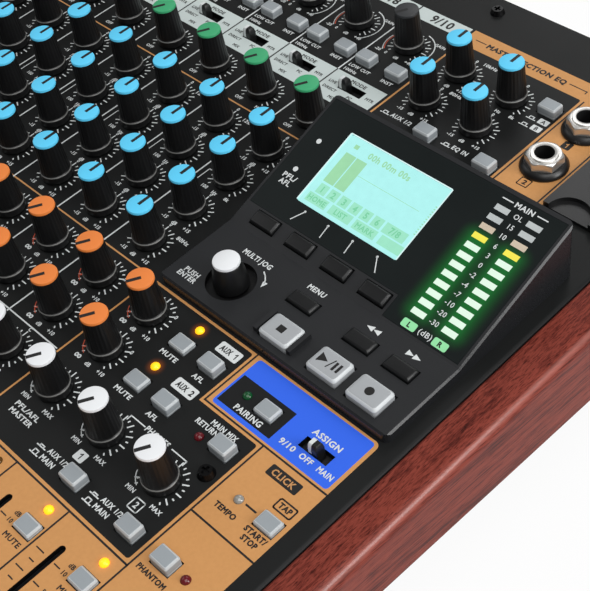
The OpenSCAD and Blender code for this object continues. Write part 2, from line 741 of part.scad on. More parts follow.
module board_components() {
  switch_w = 6.6;
  switch_top = -button_travel - 5;
  tact_w = 6;
  tact_top = -8.5;
  plunger_d = 3.4;
  plunger_top = key_foot - key_travel - slip;
  encoder_w = 12;
  encoder_top = -4;
  color([0.2, 0.2, 0.22]) for (p = knob_places) on_panel(p[0], p[1]) pot();
  color([0.2, 0.2, 0.22]) for (p = button_places) on_panel(p[0], p[1])
    block(switch_w, switch_w - 1.4, board_top, switch_top);
  color([0.2, 0.2, 0.22]) for (k = [0:last]) on_panel(strip_x(k) + mode_dx, mode_y)
    block(mode_slot_l + 2, mode_slot_w + 2, board_top, panel_under - 1.2);
  color([0.2, 0.2, 0.22]) on_panel(assign_place[0], assign_place[1])
    block(mode_slot_l + 2, mode_slot_w + 2, board_top, panel_under - 1.2);
  color([0.2, 0.2, 0.22]) for (p = concat(front_keys, rear_keys)) on_deck(p[0], p[1], 0) union() {
    block(tact_w, tact_w, board_top, tact_top);
    translate([0, 0, tact_top - cut]) cylinder(h = plunger_top - tact_top + cut, d = plunger_d);
  }
  color([0.2, 0.2, 0.22]) on_deck(jog_at[0], jog_at[1], 0) difference() {
    block(encoder_w, encoder_w, board_top, encoder_top);
    translate([0, 0, shaft_foot - jog_travel - slip]) cylinder(h = -shaft_foot, d = shaft_d + 2 * run_fit);
  }
  color([0.2, 0.2, 0.22]) on_panel(cover_x, cover_front + cover_l / 2 - 2) difference() {
    block(card_well_w + 8, card_well_l + 4, board_top, panel_under - 1);
    block(card_well_w, card_well_l, panel_under - 4, 0);
  }
}

module fader_tracks() {
  track_w = 9;
  end = 9;
  channel_w = 6.6;
  channel_end = 4.6;
  color([0.45, 0.46, 0.48]) for (x = fader_columns)
    on_panel(x + slot_dx, fader_front + fader_travel / 2) difference() {
      block(track_w, fader_travel + 2 * end, board_top, panel_under);
      block(channel_w, fader_travel + 2 * channel_end, board_top + 2, panel_under - 2);
      block(slot_w, fader_travel + 2 * slot_margin, panel_under - 2 - cut, panel_under + cut);
    }
}

// One fader at its lower stop: the carriage and lever in the track, and the cap on the lever
module fader(column) {
  lever_t = 1.4;
  lever_d = 4;
  carriage_w = 6;
  carriage_l = 8;
  cap_foot = 2;
  grip = 1.4;
  waist = 1.6;
  cap_half = fader_cap_l / 2;
  seat = 7;
  color(steel) on_panel(fader_columns[column] + slot_dx, fader_front) union() {
    block(carriage_w, carriage_l, board_top + 2 + slip, panel_under - 2 - slip);
    block(lever_t, lever_d, panel_under - 2 - cut, seat);
  }
  color(black) on_panel(fader_columns[column] + slot_dx, fader_front) difference() {
    rotate([90, 0, 90]) linear_extrude(fader_cap_w, center = true) difference() {
      polygon([
        [-cap_half, cap_foot], [cap_half, cap_foot], [cap_half - waist, fader_cap_h],
        [-cap_half + waist, fader_cap_h]
      ]);
      translate([0, fader_cap_h + 4 * fader_cap_l / 5 - grip]) circle(r = 4 * fader_cap_l / 5, $fn = 96);
    }
    block(lever_t + 2 * seam, lever_d + 2 * seam, 0, seat + seam);
  }
}
module fader_1() { fader(0); }
module fader_2() { fader(1); }
module fader_3() { fader(2); }
module fader_4() { fader(3); }
module fader_5() { fader(4); }
module fader_6() { fader(5); }
module fader_7_8() { fader(6); }
module fader_9_10() { fader(7); }
module fader_fx() { fader(8); }
module fader_sub() { fader(9); }
module fader_main() { fader(10); }

function row_cap(y) =
  y == gain_y ? charcoal : y == comp_y ? cap_green : y == pan_y ? [0.95, 0.95, 0.95] :
  len(search(y, eq_rows)) > 0 ? sky_blue : orange;
module channel_knobs() {
  for (p = fixed_knob_places) on_panel(p[0], p[1]) knob(rest_turn(p[1]), row_cap(p[1]));
}
module strip_knob(y) {
  on_panel(strip_x(last), y) knob(rest_turn(y), row_cap(y));
}
module comp_9_10_knob() { strip_knob(comp_y); }
module high_9_10_knob() { strip_knob(high_y); }
module mid_freq_9_10_knob() { strip_knob(mid_freq_y); }
module mid_gain_9_10_knob() { strip_knob(mid_gain_y); }
module low_9_10_knob() { strip_knob(low_y); }
module aux_1_9_10_knob() { strip_knob(aux_1_y); }
module aux_2_9_10_knob() { strip_knob(aux_2_y); }

module master_knob(k, turn, cap) {
  on_panel(master_knobs[k][0], master_knobs[k][1]) knob(turn, cap);
}
module aux_1_master_knob() { master_knob(0, low_stop, orange); }
module aux_2_master_knob() { master_knob(1, low_stop, orange); }
module monitor_knob() { master_knob(2, low_stop, "white"); }
module phones_1_knob() { master_knob(3, low_stop, "white"); }
module phones_2_knob() { master_knob(4, low_stop, "white"); }
module eq_low_knob() { master_knob(5, centre_stop, sky_blue); }
module eq_mid_knob() { master_knob(6, centre_stop, sky_blue); }
module eq_freq_knob() { master_knob(7, centre_stop, sky_blue); }
module eq_high_knob() { master_knob(8, centre_stop, sky_blue); }

module push_buttons() {
  foot = -5 + slip;
  color(light_grey) for (p = button_places) on_panel(p[0], p[1])
    bevelled_block(button_w, button_d, foot, is_low(p) ? low_button_h : button_h, 0.5, 0.7);
}

// A slide lever: the grip above the panel and its foot in the slot
module slide_lever() {
  foot = panel_under - 0.9;
  bevelled_block(lever_l, lever_w, foot, lever_h, 0.6, 2);
}
module mode_switches() {
  rest = mode_dx - mode_travel / 2;
  color(black) for (k = [0:last]) on_panel(strip_x(k) + rest, mode_y) slide_lever();
}
module assign_switch() {
  color(black) on_panel(assign_place[0], assign_place[1]) slide_lever();
}

module indicator_leds() {
  rim = 0.2;
  dome = 0.9;
  ball_r = (led_d * led_d / 4 + dome * dome) / (2 * dome);
  color([0.9, 0.75, 0.4]) for (p = led_places) on_panel(p[0], p[1]) union() {
    translate([0, 0, -lamp_depth]) cylinder(h = lamp_depth + rim, d = led_d);
    translate([0, 0, rim]) intersection() {
      translate([0, 0, dome - ball_r]) sphere(r = ball_r);
      cylinder(h = led_d, d = led_d + cut);
    }
  }
}

module phones_jacks() {
  bezel_h = 2.2;
  nut_h = 3.2;
  body_w = 15;
  body_l = 18;
  stand = bezel_h + seam + nut_h + 0.6;
  for (y = phones_rows) on_panel(phones_x, y) {
    color(black) difference() {
      union() {
        block(body_w, body_l, -socket_depth, panel_under - seam);
        translate([0, 0, -panel_t - cut]) cylinder(h = panel_t + cut + stand, d = bushing_d);
      }
      translate([0, 0, stand - socket_depth]) cylinder(h = socket_depth + cut, d = socket_bore);
    }
    color(black) translate([0, 0, seam]) rotate_extrude() polygon([
      [bushing_d / 2 + run_fit, 0], [bezel_d / 2, 0], [bezel_d / 2, bezel_h / 3],
      [bezel_d / 2 - 1.4, bezel_h], [bushing_d / 2 + run_fit, bezel_h]
    ]);
    color(steel) translate([0, 0, 2 * seam + bezel_h]) difference() {
      cylinder(h = nut_h, d = nut_af / cos(30), $fn = 6);
      translate([0, 0, -cut]) cylinder(h = nut_h + 2 * cut, d = bushing_d + 2 * run_fit);
    }
  }
}

module rear_connectors() {
  collar = 1.5;
  wall_in = -pan_wall - seam;
  reach = io_board_y - rear_y;
  ring_depth = 5;
  ring_wall = 1.5;
  core_d = 13;
  cup_depth = 16;
  pin_d = 2.4;
  pin_l = 13;
  pin_circle = 4.6;
  data_proud = 0.3;
  data_wall = 0.5;
  data_depth = 7.3;
  for (k = [0:mic_count - 1]) on_rear(mic_x0 + k * mic_pitch, mic_z) color(black) difference() {
    union() {
      translate([0, 0, reach]) cylinder(h = -reach + collar, d = mic_d);
      translate([0, 0, seam]) cylinder(h = collar - seam, d = mic_flange_d);
    }
    translate([0, 0, collar - ring_depth]) difference() {
      cylinder(h = ring_depth + cut, d = mic_d - 2 * ring_wall);
      translate([0, 0, -cut]) cylinder(h = ring_depth, d = core_d);
    }
    translate([0, 0, collar - plug_depth]) cylinder(h = plug_depth + cut, d = socket_bore);
  }
  for (x = out_x) on_rear(x, mic_z) {
    color(black) difference() {
      union() {
        translate([0, 0, reach]) cylinder(h = -reach + collar, d = mic_d);
        translate([0, 0, seam]) cylinder(h = collar - seam, d = mic_flange_d);
      }
      translate([0, 0, collar - cup_depth]) cylinder(h = cup_depth + cut, d = mic_d - 2 * ring_wall);
    }
    color(steel) for (a = [30, 150, 270]) rotate([0, 0, a])
      translate([pin_circle, 0, collar - cup_depth + seam]) cylinder(h = pin_l, d = pin_d);
  }
  for (k = [0:line_count - 1]) on_rear(line_x0 + k * line_pitch, line_z)
    line_socket(socket_bore, wall_in, reach);
  on_rear(inlet_x, line_z) line_socket(inlet_bore, wall_in, reach);
  on_rear(data_x, line_z) color(steel) difference() {
    block(data_w, data_h, reach, data_proud);
    block(data_w - 2 * data_wall, data_h - 2 * data_wall, data_proud - data_depth, data_proud + cut);
  }
  on_rear(power_x, power_z) color(black) difference() {
    union() {
      block(rocker_cut_w, rocker_cut_h, -rocker_depth, rocker_rim / 2);
      block(rocker_cut_w + 2 * rocker_rim, rocker_cut_h + 2 * rocker_rim, seam, rocker_rim);
    }
    block(rocker_w + 2 * slip, rocker_h + 2 * slip, -rocker_depth + 2 * rocker_rim, rocker_rim + cut);
    rotate([0, 90, 0]) cylinder(h = rocker_cut_w - rocker_rim, d = trunnion_d + 2 * run_fit, center = true);
  }
}
// A round socket with its collar outside the wall and its square body inside
module line_socket(bore, wall_in, reach) {
  color(black) difference() {
    union() {
      block(line_body, line_body, reach, wall_in);
      translate([0, 0, wall_in - cut]) cylinder(h = jack_proud - wall_in + cut, d = bushing_d);
      translate([0, 0, seam]) cylinder(h = jack_proud - 1 - seam, d = line_nut_d);
    }
    translate([0, 0, jack_proud - plug_depth]) cylinder(h = plug_depth + cut, d = bore);
  }
}

module rubber_feet() {
  inset_y = 26;
  color([0.12, 0.12, 0.12]) for (x = [-1, 1]) for (y = [front_y + inset_y, rear_y - inset_y])
    translate([x * (pan_w / 2 - foot_inset), y, 0]) cylinder(h = foot_h, d1 = foot_d - 2, d2 = foot_d);
}

module screw(length) {
  head_h = 1.9;
  cross = 0.9;
  difference() {
    union() {
      translate([0, 0, -length]) cylinder(h = length + seam, d = screw_d);
      translate([0, 0, seam]) cylinder(h = head_h, d1 = screw_head_d, d2 = screw_head_d - 1.6);
    }
    for (a = [0, 90]) rotate([0, 0, a]) block(cross, screw_head_d / 2, head_h - 0.8, head_h + cut);
  }
}
module screws() {
  color(black) {
    for (x = lip_screw_x) for (y = lip_screw_rows) on_panel(x, y) screw(panel_t + pan_wall + 2);
    on_panel(post_screw[0], post_screw[1]) screw(panel_t + 6);
    for (s = [-1, 1]) for (part = cheek_screw_rows)
      on_panel(s * (pan_w / 2 - pan_wall), part * panel_len, panel_under - flange_h / 2)
        rotate([0, -s * 90, 0]) screw(pan_wall + flange_t + 9);
  }
}

module jog_shaft() {
  color(steel) on_deck(jog_at[0], jog_at[1], shaft_foot)
    cylinder(h = jog_shaft_top - shaft_foot, d = shaft_d);
}
module jog_knob() {
  foot = deck_h - well_depth + jog_travel + slip;
  ring_r = jog_d / 2;
  cap_r = knob_cap_d / 2;
  cap_t = 1;
  rim = 0.2;
  color(black) on_deck(jog_at[0], jog_at[1], 0) difference() {
    rotate_extrude() polygon([
      [0, foot], [ring_r, foot], [ring_r, foot + 2], [cap_r + rim, jog_h - cap_t - rim],
      [cap_r + rim, jog_h - cap_t], [0, jog_h - cap_t]
    ]);
    translate([0, 0, foot - cut]) cylinder(h = jog_shaft_top + slip - foot + cut, d = shaft_d + 2 * run_fit);
  }
  color("white") on_deck(jog_at[0], jog_at[1], jog_h - cap_t + seam)
    cylinder(h = cap_t - seam, d = knob_cap_d);
}

module deck_key(x, y, w, d, proud) {
  on_deck(x, y) bevelled_block(w, d, key_foot - deck_h, proud, 0.7, 0.8);
}
module stop_key() { color(light_grey) deck_key(stop_x, front_row, key_w, key_d, key_proud); }
module play_key() { color(light_grey) deck_key(play_x, front_row, key_w, key_d, key_proud); }
module record_key() { color(light_grey) deck_key(record_x, front_row, key_w, key_d, key_proud); }
module menu_key() { color(black) deck_key(menu_x, rear_row, small_key_w, small_key_d, small_key_proud); }
module rewind_key() { color(black) deck_key(play_x, rear_row, small_key_w, small_key_d, small_key_proud); }
module forward_key() { color(black) deck_key(record_x, rear_row, small_key_w, small_key_d, small_key_proud); }

module function_key(k) {
  foot = -console_wall - 1;
  color(black) on_display(function_x + k * function_pitch, function_row)
    bevelled_block(small_key_w, small_key_d, foot, small_key_proud, 0.7, 0.8);
}
module function_key_1() { function_key(0); }
module function_key_2() { function_key(1); }
module function_key_3() { function_key(2); }
module function_key_4() { function_key(3); }

// Flap over the card slot, hinged at its rear edge, with a round finger dip at the front
module card_cover() {
  dip_d = 30;
  dip_depth = 1.6;
  axis_y = cover_l - cover_t / 2;
  axis_z = cover_lift + cover_t / 2;
  color(charcoal) on_panel(cover_x, cover_front) union() {
    difference() {
      union() {
        translate([-cover_w / 2, 0, cover_lift]) cube([cover_w, axis_y, cover_t]);
        translate([-cover_w / 2, axis_y, axis_z]) rotate([0, 90, 0]) cylinder(h = cover_w, d = cover_t);
      }
      translate([0, 0, cover_lift + cover_t - dip_depth]) cylinder(h = dip_depth + cut, d = dip_d / 2);
    }
    translate([0, axis_y, axis_z]) rotate([0, 90, 0])
      cylinder(h = cover_w + 2 * slip + 2 * lug_w - 0.6, d = trunnion_d, center = true);
  }
}

// Rocker of the power switch, resting with its upper half pressed
module power_switch() {
  depth = 6;
  face = 2.2;
  color(black) on_rear(power_x, power_z) rotate([rocker_tilt, 0, 0]) union() {
    rotate([90, 0, 90]) linear_extrude(rocker_w, center = true) polygon([
      [-rocker_h / 2 + 0.4, 0], [-2, -depth], [2, -depth], [rocker_h / 2 - 0.4, 0],
      [rocker_h / 2 - 0.6, face], [0, face - 1], [-rocker_h / 2 + 0.6, face]
    ]);
    rotate([0, 90, 0]) cylinder(h = rocker_w + 2.6, d = trunnion_d, center = true);
  }
}

base_pan();
top_panel();
left_cheek();
right_cheek();
console_shell();
display_window();
display_module();
circuit_boards();
board_components();
fader_tracks();
channel_knobs();
push_buttons();
mode_switches();
indicator_leds();
phones_jacks();
rear_connectors();
rubber_feet();
screws();
fader_1();
fader_2();
fader_3();
fader_4();
fader_5();
fader_6();
fader_7_8();
fader_9_10();
fader_fx();
fader_sub();
fader_main();
comp_9_10_knob();
high_9_10_knob();
mid_freq_9_10_knob();
mid_gain_9_10_knob();
low_9_10_knob();
aux_1_9_10_knob();
aux_2_9_10_knob();
aux_1_master_knob();
aux_2_master_knob();
monitor_knob();
phones_1_knob();
phones_2_knob();
eq_low_knob();
eq_mid_knob();
eq_freq_knob();
eq_high_knob();
jog_shaft();
jog_knob();
stop_key();
play_key();
record_key();
menu_key();
rewind_key();
forward_key();
function_key_1();
function_key_2();
function_key_3();
function_key_4();
assign_switch();
card_cover();
power_switch();
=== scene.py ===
import math

import bpy
import numpy as np
from mathutils import Matrix, Vector


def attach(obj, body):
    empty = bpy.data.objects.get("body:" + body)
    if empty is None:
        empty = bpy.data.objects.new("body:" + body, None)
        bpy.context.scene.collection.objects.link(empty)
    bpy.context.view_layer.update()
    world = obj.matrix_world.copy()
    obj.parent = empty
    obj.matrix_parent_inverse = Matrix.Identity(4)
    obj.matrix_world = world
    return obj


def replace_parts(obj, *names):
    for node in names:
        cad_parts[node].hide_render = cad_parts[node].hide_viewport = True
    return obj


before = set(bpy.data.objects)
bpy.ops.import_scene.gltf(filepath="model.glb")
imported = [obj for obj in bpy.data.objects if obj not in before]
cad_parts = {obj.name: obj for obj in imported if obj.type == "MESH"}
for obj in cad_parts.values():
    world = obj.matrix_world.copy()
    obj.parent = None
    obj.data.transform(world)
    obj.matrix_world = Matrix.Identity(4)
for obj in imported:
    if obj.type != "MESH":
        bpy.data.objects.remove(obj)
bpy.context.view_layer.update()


# Base pan: a folded steel tray under the whole mixer, carrying the panel and the rear sockets.
# Bent from 1.5 mm sheet and powder coated in a fine black texture.
class Wire:
    """An output in a material's node tree. Arithmetic on wires adds Math nodes."""

    def __init__(self, tree, output=None):
        self.tree = tree
        self.output = output

    def feed(self, socket, value):
        """Links a wire to the socket, or sets a plain value on it."""
        if isinstance(value, Wire):
            self.tree.links.new(value.output, socket)
        else:
            socket.default_value = value

    def node(self, kind, sockets, settings={}, out=0):
        """Adds a node of this kind: first its settings, then its sockets' values or links."""
        made = self.tree.nodes.new(kind)
        for name, value in settings.items():
            if name == "stops":
                elements = made.color_ramp.elements
                while len(elements) < len(value):
                    elements.new(1.0)
                for element, (place, colour) in zip(elements, value):
                    element.position, element.color = place, colour
            else:
                setattr(made, name, value)
        for name, value in sockets.items():
            self.feed(made.inputs[name], value)
        return Wire(self.tree, made.outputs[out])

    def math(self, operation, *values):
        """Adds a Math node."""
        return self.node("ShaderNodeMath", dict(enumerate(values)), {"operation": operation})

    def __add__(self, other):
        return self.math("ADD", self, other)

    def __sub__(self, other):
        return self.math("SUBTRACT", self, other)

    def __rsub__(self, other):
        return self.math("SUBTRACT", other, self)

    def __mul__(self, other):
        return self.math("MULTIPLY", self, other)

    def __gt__(self, other):
        return self.math("GREATER_THAN", self, other)

    def __lt__(self, other):
        return self.math("LESS_THAN", self, other)

    __radd__ = __add__
    __rmul__ = __mul__


def screen_colour(r, g, b):
    """A colour read as 0 to 255 screen values, as the light values that a shader takes."""
    c = np.array([r, g, b]) / 255
    return (*np.where(c <= 0.04045, c / 12.92, ((c + 0.055) / 1.055) ** 2.4).tolist(), 1.0)


def object_place(material):
    """The wire of a material's Object coordinates."""
    return Wire(material.node_tree).node("ShaderNodeTexCoord", {}, out="Object")


def new_finish(name):
    """A material with its Principled shader, and its Object coordinates."""
    material = bpy.data.materials.new(name)
    material.use_nodes = True
    return material, object_place(material)


def shade(material, sockets):
    """Feeds the Principled shader: plain values go on its own sockets, wires are linked."""
    shader = material.node_tree.nodes["Principled BSDF"]
    for name, value in sockets.items():
        Wire(material.node_tree).feed(shader.inputs[name], value)
    return material


def mixed(factor, low, high):
    """Colour low where factor is 0 and high where it is 1."""
    return factor.node("ShaderNodeMix", {0: factor, 6: low, 7: high}, {"data_type": "RGBA"}, 2)


def toned(colour, factor):
    """A colour in screen values as light values, made lighter or darker by a factor."""
    return tuple(min(1.0, c * factor) for c in screen_colour(*colour)[:3]) + (1.0,)


def noise(place, scale, detail, **more):
    """A cloud of noise over the place, from 0 to 1."""
    return place.node("ShaderNodeTexNoise", {"Vector": place, "Scale": scale, "Detail": detail, **more})


def bumped(height, strength, distance):
    """A surface normal tilted by a relief."""
    return height.node("ShaderNodeBump", {"Height": height, "Strength": strength, "Distance": distance})


def grained(name, colour, roughness, scale=1500.0, relief=0.00001, tone=0.25, **more):
    """A moulded or coated skin: two scales of noise vary its tone, gloss and fine relief."""
    material, place = new_finish(name)
    cloud, grain = noise(place, 35.0, 4.0), noise(place, scale, 2.0)
    return shade(material, {
        "Base Color": mixed(cloud, toned(colour, 1 - tone), toned(colour, 1 + tone)),
        "Roughness": roughness - 0.05 + 0.1 * cloud + 0.06 * grain,
        "Normal": bumped(grain, 0.5, relief),
        **more,
    })


def coat(material, *nodes):
    """Gives CAD nodes one finish all over."""
    for node in nodes:
        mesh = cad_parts[node].data
        mesh.materials.clear()
        mesh.materials.append(material)


powder_coat = grained("powder_coat", (30, 30, 32), 0.5, 2600.0, 0.00006)
coat(powder_coat, "base_pan")


# Feet: four soft rubber buttons pressed into the floor of the pan.
# Plain black rubber, a little dusty, with no gloss.
coat(grained("foot_rubber", (34, 33, 33), 0.85, 1500.0, 0.00005), "rubber_feet")


# Boards and parts inside: the panel board with its pots and switches, the socket board and the supply.
# Green solder mask with copper tracks under it, black component bodies and zinc plated fader frames.
def board_finish():
    """Solder mask: a brick pattern, broken up by noise, stands for the tracks below it."""
    material, place = new_finish("solder_mask")
    tracks = place.node("ShaderNodeTexBrick", {
        "Vector": place, "Color1": (0, 0, 0, 1), "Color2": (1, 1, 1, 1), "Mortar": (1, 1, 1, 1),
        "Scale": 160.0, "Mortar Size": 0.03,
    })
    cloud = noise(place, 60.0, 3.0)
    return shade(material, {
        "Base Color": mixed(tracks * cloud, screen_colour(10, 62, 38), screen_colour(34, 110, 66)),
        "Roughness": 0.32 + 0.15 * cloud,
    })


coat(board_finish(), "circuit_boards")
coat(grained("component_black", (26, 26, 28), 0.5, 1800.0, 0.00003), "board_components")
coat(grained("zinc_plate", (150, 152, 158), 0.38, 700.0, 0.00002, 0.12, Metallic=1.0),
     "fader_tracks")


# Rear sockets: microphone and line sockets, two balanced outputs, the supply inlet and a data socket.
# Black nylon bodies set through the rear wall of the pan, with the rocker of the power switch.
coat(grained("socket_nylon", (28, 28, 30), 0.42, 1600.0, 0.00003), "rear_connectors")
coat(grained("rocker_black", (22, 22, 24), 0.35, 1600.0, 0.00002), "power_switch")


# Top panel: one sheet of 2 mm steel, folded down at its sides, that slopes 7 degrees to the table.
# Satin black, screened with copper, blue and white fields; painted light glows round each lamp that is lit,
# and the walls of its holes carry painted shade.
tilt = math.radians(7)
front_y = -180.011
front_h = 43.7
work_left, strips_right = -151.4, 50.4
mode_field, name_field = (275.9, 291.4), (331.5, 338.2)
master_left = 51.8
work_right = 151.3
lit_lamps = ((80.5, 174.15), (80.5, 156.1), (96.3, 103.65), (121.2, 103.65))


def slope_axes(place, slope, origin):
    """Millimetres across, up and off a sloping face, from Object coordinates and the face's origin."""
    axes = place.node("ShaderNodeSeparateXYZ", {0: place})
    y = Wire(place.tree, axes.output.node.outputs[1]) * 1000 - origin[1]
    z = Wire(place.tree, axes.output.node.outputs[2]) * 1000 - origin[2]
    c, s = math.cos(slope), math.sin(slope)
    return axes * 1000 - origin[0], y * c + z * s, z * c - y * s


def outside(across, along, x0, y0, x1, y1, radius):
    """Distance from a rectangle shrunk by the radius: the length of max(|p - middle| - half + radius, 0)."""
    gap_x = across.math("ABSOLUTE", across - (x0 + x1) / 2) - ((x1 - x0) / 2 - radius)
    gap_y = along.math("ABSOLUTE", along - (y0 + y1) / 2) - ((y1 - y0) / 2 - radius)
    dx, dy = gap_x.math("MAXIMUM", gap_x, 0.0), gap_y.math("MAXIMUM", gap_y, 0.0)
    return dx.math("SQRT", dx * dx + dy * dy)


def panel_finish():
    """Satin black with fields of paint, each a rectangle with round corners in panel millimetres."""
    material, place = new_finish("screened_panel")
    across, along, off = slope_axes(place, tilt, (0, front_y, front_h))

    def field(x0, x1, y0, y1, radius=0.2):
        """One inside the field and zero outside it."""
        return outside(across, along, x0, y0, x1, y1, radius) < radius

    def either(a, b):
        """One where either field is."""
        return a.math("MAXIMUM", a, b)

    sends = either(field(52.5, 125.1, 108.6, 156.4, 1.0), field(52.5, 100.1, 140, 178.3, 1.0))
    gold = field(master_left, work_right, 9, 179.2, 2.0) * (1 - sends)
    gold = either(gold, field(51.6, 127.4, 262, 338.4) * (1 - field(52.4, 106.0, 250, 329.25, 1.0)))
    blue = field(103, 150, 158.6, 178.4, 1.2)
    pairing = field(103.75, 125.8, 160.1, 171.4)
    white = either(field(work_left, strips_right, *mode_field), field(work_left, strips_right, *name_field))
    cloud = noise(place, 40.0, 4.0)
    grain = noise(place, 2400.0, 2.0)
    flake = noise(place, 900.0, 1.0)
    ground = mixed(cloud, screen_colour(17, 18, 18), screen_colour(23, 24, 24))
    metal = mixed(flake, screen_colour(191, 137, 83), screen_colour(201, 146, 90))
    colour = mixed(gold, ground, metal)
    colour = mixed(blue, colour, screen_colour(50, 100, 226))
    colour = mixed(pairing, colour, screen_colour(22, 23, 24))
    colour = mixed(white, colour, screen_colour(192, 202, 200))
    # painted shade: below the top face, on the walls of the holes, the sheet is darker than its satin black;
    # the screened fields also stay off these walls
    colour = mixed(off > -0.15, screen_colour(9, 9, 10), colour)
    # painted light: an orange glow painted into the sheet round each lit lamp
    lamp_glow_paint = 0.0
    lamp_glow_reach = 3.8
    for x, y in lit_lamps:
        reach = place.math("SQRT", (across - x) * (across - x) + (along - y) * (along - y))
        fall = place.math("MAXIMUM", 1 - reach * (1 / lamp_glow_reach), 0.0)
        lamp_glow_paint = fall * fall + lamp_glow_paint
    return shade(material, {
        "Base Color": colour,
        "Roughness": 0.42 + 0.12 * cloud,
        "Specular IOR Level": 0.22,
        "Emission Color": mixed(lamp_glow_paint, (0, 0, 0, 1), screen_colour(240, 120, 24)),
        "Emission Strength": 0.5,
        "Normal": bumped(grain, 0.3, 0.00003),
    })


coat(panel_finish(), "top_panel")


# Printed legends: lines, dial scales and words screened on the panel in one pass of each ink.
# White and orange on black, black on the copper field, and copper lines between the groups.
class Shape:
    """Points as one array, and faces as groups of equal size, each with the number of its finish."""

    def __init__(self, points, groups):
        self.points = np.asarray(points, float).reshape(-1, 3)
        self.groups = [(np.asarray(faces, int), finish) for faces, finish in groups]

    def moved(self, move):
        """The shape with its points passed through a function."""
        return Shape(move(self.points), self.groups)

    def at(self, places):
        """A copy of the shape at each of the places, as one shape."""
        places = np.asarray(places, float).reshape(-1, 3)
        points = self.points[None] + places[:, None]
        step = len(self.points) * np.arange(len(places))
        groups = [((faces[None] + step[:, None, None]).reshape(-1, faces.shape[1]), finish)
                  for faces, finish in self.groups]
        return Shape(points, groups)


def joined(shapes):
    """Several shapes as one."""
    starts = np.cumsum([0] + [len(s.points) for s in shapes])
    groups = [(faces + start, finish) for s, start in zip(shapes, starts) for faces, finish in s.groups]
    return Shape(np.concatenate([s.points for s in shapes]), groups)


def piece(name, shape, materials, body="root", smooth=40, *, slot):
    """Puts a shape in metres into a mesh object that rides on a body of the frame."""
    faces = [face for group, finish in shape.groups for face in group.tolist()]
    finishes = [finish for group, finish in shape.groups for face in group]
    mesh = bpy.data.meshes.new(name)
    mesh.from_pydata(shape.points.tolist(), [], faces)
    for material in materials:
        mesh.materials.append(material)
    mesh.polygons.foreach_set("material_index", finishes)
    mesh.polygons.foreach_set("use_smooth", np.ones(len(faces), bool))
    mesh.set_sharp_from_angle(angle=math.radians(smooth))
    mesh.update()
    made = bpy.data.objects.new(name, mesh)
    bpy.context.scene.collection.objects.link(made)
    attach(made, body)
    return made


def on_panel(points):
    """Panel millimetres, x across, y up the slope and z off the sheet, as metres in the object."""
    x, y, z = np.moveaxis(np.asarray(points, float), -1, 0)
    rise = front_h + y * math.sin(tilt) + z * math.cos(tilt)
    back = front_y + y * math.cos(tilt) - z * math.sin(tilt)
    return np.stack([x, back, rise], -1) / 1000


def flat(points, z=0.0):
    """Points of a plane with one height."""
    return np.pad(points, ((0, 0), (0, 1)), constant_values=z)


def bar(x0, y0, x1, y1):
    """A rectangle of ink."""
    return Shape([[x0, y0, 0], [x1, y0, 0], [x1, y1, 0], [x0, y1, 0]], [([[0, 1, 2, 3]], 0)])


def stroke(points, width, closed=False):
    """A line of ink through the points: a quad for each leg, lengthened by half its width."""
    points = np.asarray(points, float)
    ends = np.roll(points, -1, 0) if closed else points[1:]
    starts = points if closed else points[:-1]
    along = ends - starts
    along /= np.linalg.norm(along, axis=1)[:, None]
    side = np.stack([-along[:, 1], along[:, 0]], 1) * width / 2
    along *= width / 2
    quads = np.stack([starts - along - side, ends + along - side, ends + along + side,
                      starts - along + side], 1).reshape(-1, 2)
    return Shape(flat(quads), [(np.arange(len(quads)).reshape(-1, 4), 0)])


def rounded(x0, y0, x1, y1, radius, steps=5):
    """The outline of a rectangle with round corners, counter-clockwise."""
    turn = np.linspace(0, np.pi / 2, steps)
    corners = [(x1 - radius, y0 + radius, -1), (x1 - radius, y1 - radius, 0),
               (x0 + radius, y1 - radius, 1), (x0 + radius, y0 + radius, 2)]
    return np.concatenate([
        np.stack([x + radius * np.cos(turn + q * np.pi / 2), y + radius * np.sin(turn + q * np.pi / 2)], 1)
        for x, y, q in corners
    ])


def plate(x0, y0, x1, y1, radius):
    """A filled rectangle with round corners."""
    outline = rounded(x0, y0, x1, y1, radius)
    return Shape(flat(outline), [([list(range(len(outline)))], 0)])


def disc(x, y, radius, steps=16):
    """A filled circle."""
    turn = np.linspace(0, 2 * np.pi, steps, endpoint=False)
    ring = np.stack([x + radius * np.cos(turn), y + radius * np.sin(turn), 0 * turn], 1)
    return Shape(ring, [([list(range(steps))], 0)])


letter_cache = {}


def words(text, x, y, height, width=0.0, weight=0.03):
    """A line of letters standing on y with its middle at x, of that capital height; a width draws it out.
    A bevel widens the strokes by the weight, and its faces are pressed flat with the rest."""
    if (text, weight) not in letter_cache:
        curve = bpy.data.curves.new("letters", "FONT")
        curve.body = text
        curve.resolution_u = 2
        curve.space_character = 1.1
        curve.bevel_depth = weight
        curve.bevel_resolution = 0
        curve.fill_mode = "FRONT"
        holder = bpy.data.objects.new("letters", curve)
        mesh = bpy.data.meshes.new_from_object(holder)
        points = np.array([v.co for v in mesh.vertices]).reshape(-1, 3) * (1, 1, 0)
        faces = [list(p.vertices) for p in mesh.polygons if p.normal.z > 0.1]
        points[:, 0] -= (points[:, 0].min() + points[:, 0].max()) / 2
        letter_cache[text, weight] = (points + (0, weight, 0)) / (0.685 + 2 * weight), faces
        bpy.data.objects.remove(holder)
        bpy.data.curves.remove(curve)
        bpy.data.meshes.remove(mesh)
    points, faces = letter_cache[text, weight]
    reach = width / (2 * points[:, 0].max()) if width else 0.95 * height
    sizes = sorted({len(f) for f in faces})
    groups = [([f for f in faces if len(f) == n], 0) for n in sizes]
    return Shape(points * (reach, height, 0) + (x, y, 0), groups)


